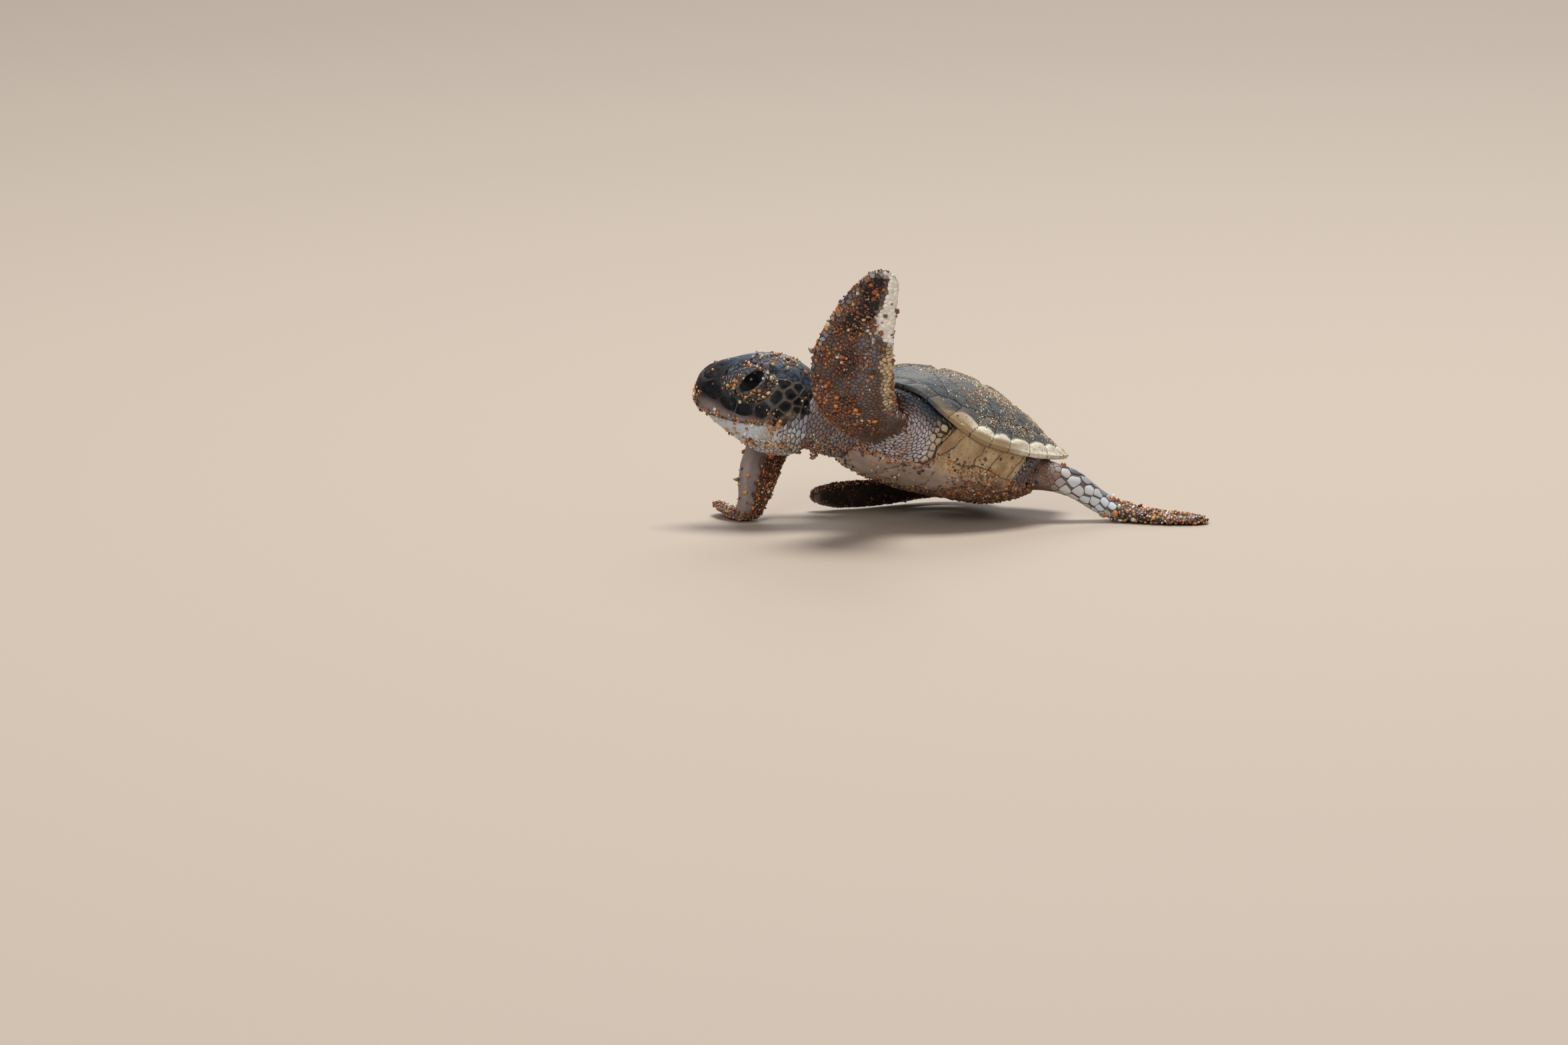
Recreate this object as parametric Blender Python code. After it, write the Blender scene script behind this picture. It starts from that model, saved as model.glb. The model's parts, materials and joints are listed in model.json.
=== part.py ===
"""Green sea turtle hatchling, life size, still: one step of its crawl.

Built in millimetres and scaled to metres at the end. The shell has its own
frame (forward, left, up from the middle of the carapace rim). Limb paths are
in the walking frame (forward, left, height over the floor).
"""
import math

import bmesh
import bpy
import numpy as np
from mathutils import Matrix, Vector

MM = 0.001
GAP = 0.3                  # room between neighbouring pieces
SIDES = 16                 # points round a limb section

# ---- the shell, in its own frame
SHELL_FRONT = 24.5         # nuchal edge, forward of the widest place's frame
SHELL_REAR = 25.5
SHELL_HALF_WIDTH = 19.2
WIDEST_AT = 2.0
DOME_HEIGHT = 7.2
SHELL_THICK = 2.4
PLASTRON_DEPTH = 14.6
SHELL_STEPS = 40
RIM_EDGE = 0.9             # thickness of the carapace at its edge
KEEL_RISE = 0.5
KEEL_WIDTH = 1.6
PLASTRON_THICK = 1.9
BELLY_CURL = 3.2           # how far the plastron's underside rises towards its sides
BRIDGE_GAP = 2.3           # from the rim's height down to the top of the bridge

# heights along the shell: forward, up
RIM_LINE = [(-25.5, 0.0), (-18.0, -2.0), (-8.0, -3.8), (2.0, -4.0), (9.0, -1.6), (15.0, 1.2), (24.5, 0.3)]
KEEL_LINE = [(-25.5, 0.0), (-21.0, 3.9), (-12.0, 6.5), (-3.5, 7.2), (5.0, DOME_HEIGHT), (13.5, 6.6),
             (20.0, 4.4), (24.5, 1.0)]
BELLY_LINE = [(-24.0, -8.0), (-19.0, -11.2), (-12.0, -13.6), (-4.0, -PLASTRON_DEPTH), (8.0, -15.4),
              (16.0, -15.6), (21.0, -14.6), (24.0, -12.5)]

# the trunk along the shell: forward, then half width, top or bottom
TRUNK_SLICES = [-21.0, -19.8, -17.5, -14.0, -9.0, -3.0, 3.0, 8.0, 12.0, 15.5, 18.4, 20.4, 21.6]
TRUNK_SIDES = 24
TRUNK_HALF = [(-21.0, 4.0), (-19.8, 7.0), (-17.5, 10.0), (-14.0, 12.8), (-9.0, 15.2), (-3.0, 16.4),
              (3.0, 16.4), (8.0, 16.8), (12.0, 16.6), (15.5, 14.6), (18.4, 12.4), (20.4, 10.0), (21.6, 7.0)]
TRUNK_TOP = [(-21.0, -1.6), (-17.5, 0.2), (-9.0, 3.4), (3.0, 5.0), (12.0, 4.2), (18.4, 2.2), (21.6, -1.4)]
TRUNK_LOW = [(-21.0, -6.5), (-17.5, -9.4), (-9.0, -12.2), (3.0, -13.0), (12.0, -13.0), (18.4, -12.0),
             (21.6, -8.6)]

# ---- how the shell is held
PITCH = math.radians(19.5)
ROLL = math.radians(4.5)
SHELL_HEIGHT = 19.1

# ---- the head, in its own frame: forward, left, up from the front of the mouth
HEAD_YAW = math.radians(23.0)
HEAD_PITCH = math.radians(15.7)
HEAD_ROLL = math.radians(3.0)
HEAD_PLACE = (44.8, -8.4, 22.2)
EYE_RADIUS = 3.0
EYE_RINGS = 9
EYE_PLACE = (-7.2, 4.35, 6.6)

# ---- the claw on each front flipper
CLAW_RADIUS = 0.5
CLAW_LENGTH = 1.4
CLAW_TIP = 0.12

COLOURS = {
    "slate": ((0.055, 0.075, 0.10), 0.45),
    "shell": ((0.10, 0.12, 0.14), 0.55),
    "cream": ((0.62, 0.55, 0.45), 0.55),
    "skin": ((0.34, 0.30, 0.33), 0.6),
    "eye": ((0.008, 0.008, 0.01), 0.08),
    "claw": ((0.45, 0.38, 0.30), 0.4),
}


# ---------------------------------------------------------------- frames

def walk(forward, left, height):
    """A place in the walking frame, as world millimetres."""
    return Vector((-forward, -left, height))


def turned(yaw, pitch, roll, place):
    """A frame that looks forward, turned right by yaw, nose up by pitch, left side up by roll."""
    level = math.cos(pitch)
    forward = Vector((-math.cos(yaw) * level, math.sin(yaw) * level, math.sin(pitch)))
    left = Vector((-math.sin(yaw), -math.cos(yaw), 0.0))
    up = forward.cross(left)
    if up.z < 0:
        up = -up
    left_rolled = left * math.cos(roll) + up * math.sin(roll)
    up_rolled = up * math.cos(roll) - left * math.sin(roll)
    frame = Matrix((forward, left_rolled, up_rolled)).transposed().to_4x4()
    frame.translation = place
    return frame


SHELL_FRAME = turned(0.0, PITCH, ROLL, walk(0.0, 0.0, SHELL_HEIGHT))
HEAD_FRAME = turned(HEAD_YAW, HEAD_PITCH, HEAD_ROLL, walk(*HEAD_PLACE))


def in_shell(forward, left, up):
    return SHELL_FRAME @ Vector((forward, left, up))


def in_head(forward, left, up):
    return HEAD_FRAME @ Vector((forward, left, up))


def smooth(x, low, high):
    """0 below low, 1 above high, eased between."""
    t = min(1.0, max(0.0, (x - low) / (high - low)))
    return t * t * (3.0 - 2.0 * t)


def read(stations, x):
    """The value at x of a smooth line through (x, value) stations, in rising x."""
    xs = [s[0] for s in stations]
    ys = [s[1] for s in stations]
    if x <= xs[0]:
        return ys[0]
    if x >= xs[-1]:
        return ys[-1]
    slopes = np.gradient(ys, xs)
    i = max(k for k in range(len(xs) - 1) if xs[k] <= x)
    h = xs[i + 1] - xs[i]
    t = (x - xs[i]) / h
    return ((2 * t ** 3 - 3 * t ** 2 + 1) * ys[i] + (t ** 3 - 2 * t ** 2 + t) * h * slopes[i]
            + (-2 * t ** 3 + 3 * t ** 2) * ys[i + 1] + (t ** 3 - t ** 2) * h * slopes[i + 1])


# ---------------------------------------------------------------- making meshes

def start_clean():
    for old in list(bpy.data.objects):
        bpy.data.objects.remove(old, do_unlink=True)


def collection(name):
    made = bpy.data.collections.new(name)
    bpy.context.scene.collection.children.link(made)
    return made


def material(name):
    found = bpy.data.materials.get(name)
    if found:
        return found
    (red, green, blue), rough = COLOURS[name]
    made = bpy.data.materials.new(name)
    made.use_nodes = True
    shader = made.node_tree.nodes["Principled BSDF"]
    shader.inputs["Base Color"].default_value = (red, green, blue, 1.0)
    shader.inputs["Roughness"].default_value = rough
    shader.inputs["Metallic"].default_value = 0.0
    made.diffuse_color = (red, green, blue, 1.0)
    return made


def loft(rings):
    """A closed body through rings of points, with a fan of faces at each end."""
    mesh = bmesh.new()
    rows = [[mesh.verts.new(p) for p in ring] for ring in rings]
    count = len(rows[0])
    for low, high in zip(rows, rows[1:]):
        for k in range(count):
            n = (k + 1) % count
            mesh.faces.new((low[k], low[n], high[n], high[k]))
    for row in (rows[0], rows[-1]):
        middle = mesh.verts.new(sum((v.co for v in row), Vector()) / count)
        for k in range(count):
            mesh.faces.new((row[k], row[(k + 1) % count], middle))
    bmesh.ops.recalc_face_normals(mesh, faces=mesh.faces)
    bmesh.ops.triangulate(mesh, faces=mesh.faces)
    return mesh


def node(mesh, name, look, group):
    data = bpy.data.meshes.new(name)
    mesh.to_mesh(data)
    mesh.free()
    made = bpy.data.objects.new(name, data)
    made.data.materials.append(material(look))
    group.objects.link(made)
    return made


def to_bmesh(source):
    mesh = bmesh.new()
    mesh.from_mesh(source.data)
    return mesh


def swollen(source, by, group):
    """A cutter: the piece grown outward by a margin."""
    mesh = to_bmesh(source)
    bmesh.ops.remove_doubles(mesh, verts=mesh.verts, dist=0.01)
    mesh.normal_update()
    moves = [v.normal * by for v in mesh.verts]
    for v, move in zip(mesh.verts, moves):
        v.co += move
    cutter = node(mesh, source.name + "_room", "skin", group)
    cutter.hide_render = True
    cutter.display_type = "WIRE"
    return cutter


def combine(piece, other, operation):
    """Apply one exact Boolean to a piece."""
    step = piece.modifiers.new(operation.lower(), "BOOLEAN")
    step.operation = operation
    step.solver = "EXACT"
    step.object = other
    evaluated = piece.evaluated_get(bpy.context.evaluated_depsgraph_get())
    result = bpy.data.meshes.new_from_object(evaluated)
    piece.modifiers.remove(step)
    piece.data = result
    keep_largest(piece)


def keep_largest(piece):
    """Drop slivers that a cut leaves beside the main body."""
    mesh = to_bmesh(piece)
    left = set(mesh.verts)
    islands = []
    while left:
        todo = [left.pop()]
        island = list(todo)
        while todo:
            for edge in todo.pop().link_edges:
                for v in edge.verts:
                    if v in left:
                        left.remove(v)
                        todo.append(v)
                        island.append(v)
        islands.append(island)
    islands.sort(key=spread)
    for island in islands[:-1]:
        bmesh.ops.delete(mesh, geom=island, context="VERTS")
    mesh.to_mesh(piece.data)
    mesh.free()


def spread(verts):
    """The volume of the box round some vertices."""
    sizes = [max(v.co[i] for v in verts) - min(v.co[i] for v in verts) for i in range(3)]
    return sizes[0] * sizes[1] * sizes[2]


def carve(piece, rooms):
    """Cut a piece back from its neighbours' rooms."""
    for room in rooms:
        combine(piece, room, "DIFFERENCE")


def kept_side(piece, point, normal):
    """Cut a piece by a plane, close it, and keep what lies along the normal."""
    mesh = to_bmesh(piece)
    geometry = mesh.verts[:] + mesh.edges[:] + mesh.faces[:]
    cut = bmesh.ops.bisect_plane(mesh, geom=geometry, plane_co=point, plane_no=normal,
                                 clear_inner=True, dist=0.001)
    edges = [e for e in cut["geom_cut"] if isinstance(e, bmesh.types.BMEdge)]
    bmesh.ops.holes_fill(mesh, edges=edges)
    bmesh.ops.triangulate(mesh, faces=[f for f in mesh.faces if len(f.verts) > 4])
    mesh.to_mesh(piece.data)
    mesh.free()


def parted(piece, point, normal, far_name, group):
    """Part a piece in two with a thin cut. The far part lies along the normal."""
    far = piece.copy()
    far.data = piece.data.copy()
    far.name = far_name
    group.objects.link(far)
    half = normal.normalized() * GAP / 2
    kept_side(far, point + half, normal)
    kept_side(piece, point - half, -normal)
    return far


# ---------------------------------------------------------------- shell

def outline(angle):
    """The carapace edge seen from above: 0 is the front, pi the rear."""
    c, s = math.cos(angle), math.sin(angle)
    if c >= 0:
        forward = WIDEST_AT + (SHELL_FRONT - WIDEST_AT) * abs(c) ** (2 / 2.5)
        half = SHELL_HALF_WIDTH * abs(s) ** (2 / 1.9)
    else:
        forward = WIDEST_AT - (SHELL_REAR + WIDEST_AT) * abs(c) ** (2 / 2.0)
        half = SHELL_HALF_WIDTH * abs(s) ** (2 / 1.5)
    return forward, math.copysign(half, s)


def rim_height(forward):
    """The edge arches over the front flippers and dips along the bridge."""
    return read(RIM_LINE, forward)


def carapace_top(forward, left, reach):
    """Height of the dome at a share of the way out to the rim."""
    edge = rim_height(forward / max(reach, 0.05) if reach > 0.5 else forward)
    across = 1.0 - reach ** 2.3
    keel = read(KEEL_LINE, forward) + KEEL_RISE * math.exp(-(left / KEEL_WIDTH) ** 2)
    return edge * reach ** 3 + keel * across


def carapace(group):
    reaches = [0.16, 0.38, 0.6, 0.78, 0.9, 0.97, 1.0]
    angles = [2 * math.pi * k / SHELL_STEPS for k in range(SHELL_STEPS)]
    rings = []
    for reach in reaches:
        ring = []
        for a in angles:
            f, l = outline(a)
            f, l = f * reach, l * reach
            ring.append(in_shell(f, l, carapace_top(f, l, reach)))
        rings.append(ring)
    for reach in reversed(reaches[:-1]):
        ring = []
        for a in angles:
            f, l = outline(a)
            f, l = f * reach, l * reach
            thick = SHELL_THICK * (1.0 - reach ** 6) + RIM_EDGE * reach ** 6
            ring.append(in_shell(f, l, carapace_top(f, l, reach) - thick))
        rings.append(ring)
    return node(loft(rings), "carapace", "shell", group)


def belly(forward, left_share):
    """Height of the plastron's underside: flat across, curved up at the front and rear."""
    return read(BELLY_LINE, forward) + BELLY_CURL * abs(left_share) ** 4


def bridge_share(forward):
    """How far the plastron's side climbs to the rim: 1 along the bridge, 0 at the limb openings."""
    return smooth(forward, -14.5, -9.5) * (1.0 - smooth(forward, 4.5, 9.5))


def plastron(group):
    rings = []
    angles = [2 * math.pi * k / SHELL_STEPS for k in range(SHELL_STEPS)]

    def place(a, reach, inner):
        f, l = outline(a)
        share = reach - inner * 0.09
        f *= 0.84 if f > 0 else 0.88
        return f * share, l * share * (0.72 + 0.21 * bridge_share(f))

    def under(a, reach):
        f, l = place(a, reach, 0.0)
        return in_shell(f, l, belly(f, reach))

    for reach in (0.2, 0.45, 0.68, 0.85, 0.95, 1.0):
        rings.append([under(a, reach) for a in angles])
    for climb in (0.5, 1.0):
        ring = []
        for a in angles:
            f, l = place(a, 1.0, 0.0)
            low = belly(f, 1.0)
            top = low + 1.0 + (rim_height(f) - BRIDGE_GAP - low) * bridge_share(f)
            ring.append(in_shell(f * (1 + 0.02 * climb), l * (1 + 0.04 * climb), low + (top - low) * climb))
        rings.append(ring)
    for climb in (1.0, 0.45, 0.0):
        ring = []
        for a in angles:
            f, l = place(a, 1.0, 1.0)
            low = belly(f, 1.0)
            top = low + 1.0 + (rim_height(f) - BRIDGE_GAP - low) * bridge_share(f)
            floor = belly(f, 0.9) + PLASTRON_THICK
            height = floor + max(0.0, top - floor) * climb
            if climb == 0.0:
                f, l = f * 0.95, l * 0.93
                height = belly(f, 0.85) + PLASTRON_THICK
            ring.append(in_shell(f, l, height))
        rings.append(ring)
    for reach in (0.6, 0.3):
        ring = []
        for a in angles:
            f, l = place(a, reach, 0.0)
            ring.append(in_shell(f, l, belly(f, reach) + PLASTRON_THICK))
        rings.append(ring)
    return node(loft(rings), "plastron", "cream", group)


def trunk(group):
    """The flesh inside the shell, full at the shoulders and the hips."""
    rings = []
    for f in TRUNK_SLICES:
        half = read(TRUNK_HALF, f)
        top = read(TRUNK_TOP, f)
        low = read(TRUNK_LOW, f)
        ring = []
        for k in range(TRUNK_SIDES):
            a = 2 * math.pi * k / TRUNK_SIDES
            c, s = math.cos(a), math.sin(a)
            l = half * math.copysign(abs(c) ** 0.85, c)
            u = (top + low) / 2 + (top - low) / 2 * math.copysign(abs(s) ** 0.8, s)
            ring.append(in_shell(f, l, u))
        rings.append(ring)
    return node(loft(rings), "trunk", "skin", group)


# ---------------------------------------------------------------- head

HEAD_SIDES = 28
MOUTH_LINE = [(6.0, -0.8), (-1.0, -1.2), (-7.0, -0.9)]     # forward, up
MOUTH_CORNER = (-12.0, 0.1)
HEAD_STATIONS = [   # forward, half width, top, bottom
    (2.8, 1.2, 4.4, 1.8),
    (2.4, 2.2, 5.9, 0.2),
    (1.3, 3.0, 7.4, -0.7),
    (-0.8, 3.9, 8.9, -1.8),
    (-3.0, 4.9, 10.1, -2.9),
    (-5.5, 5.9, 11.5, -3.9),
    (-8.5, 6.8, 12.5, -5.0),
    (-11.5, 7.3, 12.9, -5.8),
    (-14.5, 7.1, 12.5, -5.7),
    (-17.0, 6.2, 11.5, -5.0),
    (-19.0, 4.9, 9.9, -3.9),
]


def head_section(station):
    """An egg-shaped slice: broad at the cheeks, drawn in under the jaw and over the crown."""
    forward, half, top, low = station
    middle = low + (top - low) * 0.46
    ring = []
    for k in range(HEAD_SIDES):
        a = 2 * math.pi * k / HEAD_SIDES
        c, s = math.cos(a), math.sin(a)
        l = half * math.copysign(abs(c) ** 0.9, c)
        rise = (top - middle) if s > 0 else (middle - low)
        ring.append(in_head(forward, l, middle + rise * math.copysign(abs(s) ** 0.95, s)))
    return ring


def head(group):
    return node(loft([head_section(s) for s in HEAD_STATIONS]), "head", "slate", group)


def lower_jaw(skull, group, cutters):
    """Part the jaw from the skull along the mouth, with a thin cut."""
    jaw = skull.copy()
    jaw.data = skull.data.copy()
    jaw.name = "lower_jaw"
    group.objects.link(jaw)
    combine(skull, mouth_wedge(GAP / 2, cutters), "DIFFERENCE")
    combine(jaw, mouth_wedge(-GAP / 2, cutters), "INTERSECT")
    jaw.data.materials.clear()
    jaw.data.materials.append(material("cream"))


def mouth_wedge(shift, cutters):
    """All that lies under the mouth line, back to its corner."""
    front, half, deep, lean = 6.0, 10.0, 12.0, 2.5
    corner = MOUTH_CORNER[0] - shift
    line = [(f, u + shift) for f, u in MOUTH_LINE]
    line += [(corner, MOUTH_CORNER[1] + shift), (corner - lean, -deep), (front, -deep)]
    rings = [[in_head(f, side * half, u) for f, u in line] for side in (-1, 1)]
    wedge = node(loft(rings), "mouth_wedge", "skin", cutters)
    wedge.hide_render = True
    wedge.display_type = "WIRE"
    return wedge


def eyes(skull, group, cutters):
    forward, side, up = EYE_PLACE
    for name, sign in (("eye_left", 1), ("eye_right", -1)):
        mesh = bmesh.new()
        bmesh.ops.create_uvsphere(mesh, u_segments=2 * EYE_RINGS, v_segments=EYE_RINGS, radius=EYE_RADIUS)
        bmesh.ops.translate(mesh, verts=mesh.verts, vec=in_head(forward, sign * side, up))
        eye = node(mesh, name, "eye", group)
        carve(skull, [swollen(eye, GAP, cutters)])


# ---------------------------------------------------------------- neck, tail and limbs

def lens(centre, across, normal, width, thick, lead):
    """A limb slice: a full, round leading edge and a thinner trailing one."""
    ring = []
    for k in range(SIDES):
        a = 2 * math.pi * k / SIDES
        c, s = math.cos(a), math.sin(a)
        ring.append(centre + across * (c * width / 2) + normal * (s * thick / 2 * (1.0 + lead * c)))
    return ring


def limb(name, look, group, stations):
    """A body along a path. A station is its place, its chord, its width, its thickness and its lead."""
    places = [s[0] for s in stations]
    rings = []
    for i, (here, chord, width, thick, lead) in enumerate(stations):
        along = (places[min(len(places) - 1, i + 1)] - places[max(0, i - 1)]).normalized()
        across = (chord - along * along.dot(chord)).normalized()
        rings.append(lens(here, across, along.cross(across), width, thick, lead))
    return node(loft(rings), name, look, group)


def finer(stations, steps=2):
    """The same limb with eased stations between the given ones."""
    numbers = list(range(len(stations)))
    columns = []
    for s in stations:
        columns.append([*s[0], *s[1], *s[2:]])
    result = []
    count = (len(stations) - 1) * steps
    for k in range(count + 1):
        t = k / steps
        row = [read([(n, c[j]) for n, c in zip(numbers, columns)], t) for j in range(9)]
        result.append((Vector(row[0:3]), Vector(row[3:6]), row[6], row[7], row[8]))
    return result


def neck(group):
    """Short and thick, straight from inside the skull to inside the trunk."""
    sideways = in_head(0, 1, 0) - in_head(0, 0, 0) + in_shell(0, 1, 0) - in_shell(0, 0, 0)
    nape = in_head(-14.0, 0, 3.6)
    root = in_shell(18.0, 0, -6.6)
    sizes = [(0.0, 10.5, 12.0), (0.3, 12.2, 13.4), (0.6, 14.6, 14.4), (0.8, 16.4, 14.6), (1.0, 17.6, 14.4)]
    return limb("neck", "skin", group, [(nape.lerp(root, t), sideways, width, height, 0.0)
                                        for t, width, height in sizes])


def tail(group):
    side = in_shell(0, 1, 0) - in_shell(0, 0, 0)
    return limb("tail", "skin", group, finer([
        (in_shell(-18.5, 0, -4.8), side, 5.0, 4.4, 0.0),
        (in_shell(-22.5, 0, -4.6), side, 4.0, 3.4, 0.0),
        (in_shell(-26.5, 0, -5.2), side, 1.6, 1.4, 0.0),
    ]))


def front_left():
    """Raised high and out, its underside to the left: upper arm, then the blade."""
    lead = walk(0.92, -0.39, 0.0)
    return finer([
        (walk(14.5, 7.0, 18.6), lead, 10.0, 8.0, 0.2),
        (walk(21.0, 14.0, 20.8), lead, 12.0, 7.0, 0.3),
        (walk(25.6, 18.6, 23.4), lead, 14.0, 4.6, 0.4),
        (walk(28.2, 21.4, 28.4), lead, 15.4, 3.2, 0.4),
        (walk(29.2, 23.9, 34.2), lead, 15.0, 2.6, 0.4),
        (walk(28.8, 27.7, 40.8), lead, 12.2, 2.0, 0.4),
        (walk(27.9, 31.4, 46.4), lead, 8.8, 1.5, 0.3),
        (walk(26.9, 33.4, 49.2), lead, 5.6, 1.2, 0.2),
        (walk(26.5, 34.0, 50.1), lead, 2.6, 0.9, 0.0),
    ])


def front_right():
    """Planted ahead of the body: down on its leading edge, the blade's end out to the right."""
    lead = walk(1.0, 0.1, 0.0)
    ahead = walk(1.0, 0.0, 0.35)
    return finer([
        (walk(14.0, -8.0, 19.0), walk(0.6, 0.0, 0.8), 9.0, 7.0, 0.1),
        (walk(22.0, -13.6, 17.8), walk(0.6, 0.0, 0.8), 8.6, 6.0, 0.2),
        (walk(28.8, -13.8, 14.4), walk(0.8, 0.1, 0.6), 8.8, 4.6, 0.4),
        (walk(32.4, -12.4, 8.6), walk(0.95, 0.1, 0.3), 8.6, 3.4, 0.5),
        (walk(34.7, -10.2, 3.4), lead, 6.0, 3.0, 0.5),
        (walk(35.7, -10.8, 0.9), ahead, 5.2, 2.6, 0.4),
        (walk(36.2, -14.6, 0.9), ahead, 6.4, 1.8, 0.4),
        (walk(36.2, -19.0, 1.3), ahead, 5.8, 1.4, 0.3),
        (walk(36.0, -22.4, 1.6), ahead, 2.6, 1.0, 0.2),
    ])


def hind_left():
    """Stretched back, the foot flat on the floor."""
    side = walk(0.6, 0.8, 0.0)
    return finer([
        (walk(-9.5, 7.5, 8.8), walk(0.3, 0.6, 0.6), 8.5, 6.5, 0.0),
        (walk(-15.0, 10.6, 8.4), walk(0.3, 0.6, 0.6), 6.6, 5.6, 0.0),
        (walk(-19.8, 12.8, 6.7), walk(0.3, 0.8, 0.4), 5.2, 4.8, 0.0),
        (walk(-23.4, 14.0, 4.0), walk(0.4, 0.8, 0.2), 5.0, 4.2, 0.0),
        (walk(-26.8, 15.6, 2.0), side, 5.6, 3.8, 0.0),
        (walk(-30.8, 18.2, 1.1), side, 7.4, 2.8, 0.0),
        (walk(-35.4, 21.6, 0.7), side, 8.8, 2.0, 0.0),
        (walk(-38.6, 24.0, 0.6), side, 7.0, 1.6, 0.0),
        (walk(-40.4, 25.3, 0.5), side, 4.4, 1.2, 0.0),
        (walk(-41.0, 25.8, 0.5), side, 2.0, 0.8, 0.0),
    ])


def hind_right():
    """Swung forward under the belly, the blade standing on its lower edge."""
    tilt = walk(0.0, 0.62, 0.78)
    return finer([
        (walk(-11.5, -7.0, 7.4), walk(0.6, -0.4, 0.5), 7.5, 6.0, 0.0),
        (walk(-13.4, -13.4, 5.8), walk(0.7, 0.2, 0.6), 5.6, 5.0, 0.0),
        (walk(-9.8, -18.2, 3.8), walk(0.2, 0.6, 0.8), 5.0, 4.0, 0.0),
        (walk(-4.0, -19.4, 2.8), tilt, 5.2, 3.0, 0.0),
        (walk(2.0, -18.2, 2.6), tilt, 6.4, 2.0, 0.1),
        (walk(9.0, -16.2, 2.7), tilt, 8.0, 1.5, 0.1),
        (walk(14.8, -16.5, 2.9), tilt, 7.4, 1.3, 0.1),
        (walk(18.4, -17.4, 3.0), tilt, 5.0, 1.1, 0.0),
        (walk(20.0, -17.9, 3.1), tilt, 2.2, 0.9, 0.0),
    ])


LIMBS = [    # inner name, outer name, stations, where it is parted, the direction of its outer part
    ("arm_front_left", "flipper_front_left", front_left(), (24.6, 17.8, 22.8), (0.35, 0.55, 0.75)),
    ("arm_front_right", "flipper_front_right", front_right(), (29.6, -13.6, 13.2), (0.6, 0.1, -0.8)),
    ("leg_hind_left", "foot_hind_left", hind_left(), (-25.8, 15.0, 2.2), (-0.75, 0.35, -0.56)),
    ("leg_hind_right", "foot_hind_right", hind_right(), (-3.2, -19.2, 2.8), (1.0, 0.0, 0.0)),
]

CLAWS = [    # name, its flipper's stations, the station that it stands at
    ("claw_front_left", front_left(), 8),
    ("claw_front_right", front_right(), 7),
]


def claw(name, stations, index, group):
    """A short cone off the leading edge, leaning towards the flipper's tip."""
    place, chord, width = stations[index][:3]
    along = (stations[index + 1][0] - stations[index - 1][0]).normalized()
    across = (chord - along * along.dot(chord)).normalized()
    lean = (across * 0.85 + along * 0.5).normalized()
    base = place + across * (width / 2 + GAP + CLAW_RADIUS * 0.6)
    mesh = bmesh.new()
    bmesh.ops.create_cone(mesh, cap_ends=True, segments=10, radius1=CLAW_RADIUS, radius2=CLAW_TIP,
                          depth=CLAW_LENGTH)
    turn = Vector((0.0, 0.0, 1.0)).rotation_difference(lean).to_matrix().to_4x4()
    mesh.transform(Matrix.Translation(base + lean * CLAW_LENGTH / 2) @ turn)
    return node(mesh, name, "claw", group)


def centre(group):
    """Put the middle of the whole body over the origin, and its lowest point on the floor."""
    points = [v.co for thing in group.objects for v in thing.data.vertices]
    lows = [min(p[i] for p in points) for i in range(3)]
    highs = [max(p[i] for p in points) for i in range(3)]
    return Vector((-(lows[0] + highs[0]) / 2, -(lows[1] + highs[1]) / 2, -lows[2]))


def build():
    start_clean()
    group = collection("turtle_hatchling")
    cutters = collection("cutters")
    shell = carapace(group)
    under = plastron(group)
    body = trunk(group)
    skull = head(group)
    throat = neck(group)
    rump = tail(group)
    shell_rooms = [swollen(shell, GAP, cutters), swollen(under, GAP, cutters)]
    body_room = swollen(body, GAP, cutters)
    head_room = swollen(skull, GAP, cutters)
    neck_room = swollen(throat, GAP, cutters)
    carve(body, shell_rooms)
    carve(throat, [head_room, body_room, *shell_rooms])
    carve(rump, [body_room, *shell_rooms])
    lower_jaw(skull, group, cutters)
    eyes(skull, group, cutters)
    for inner, outer, stations, place, along in LIMBS:
        whole = limb(inner, "skin", group, stations)
        carve(whole, [body_room, neck_room, *shell_rooms])
        kept_side(whole, Vector((0.0, 0.0, 0.0)), Vector((0.0, 0.0, 1.0)))
        parted(whole, walk(*place), walk(*along), outer, group)
    for name, stations, index in CLAWS:
        claw(name, stations, index, group)
    shift = centre(group)
    for thing in (*group.objects, *cutters.objects):
        thing.data.transform(Matrix.Scale(MM, 4) @ Matrix.Translation(shift))


build()
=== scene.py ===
import json
import math
from contextlib import contextmanager

import bpy
import numpy as np
from mathutils import Matrix, Vector
from mathutils.bvhtree import BVHTree
from mathutils.kdtree import KDTree

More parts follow.
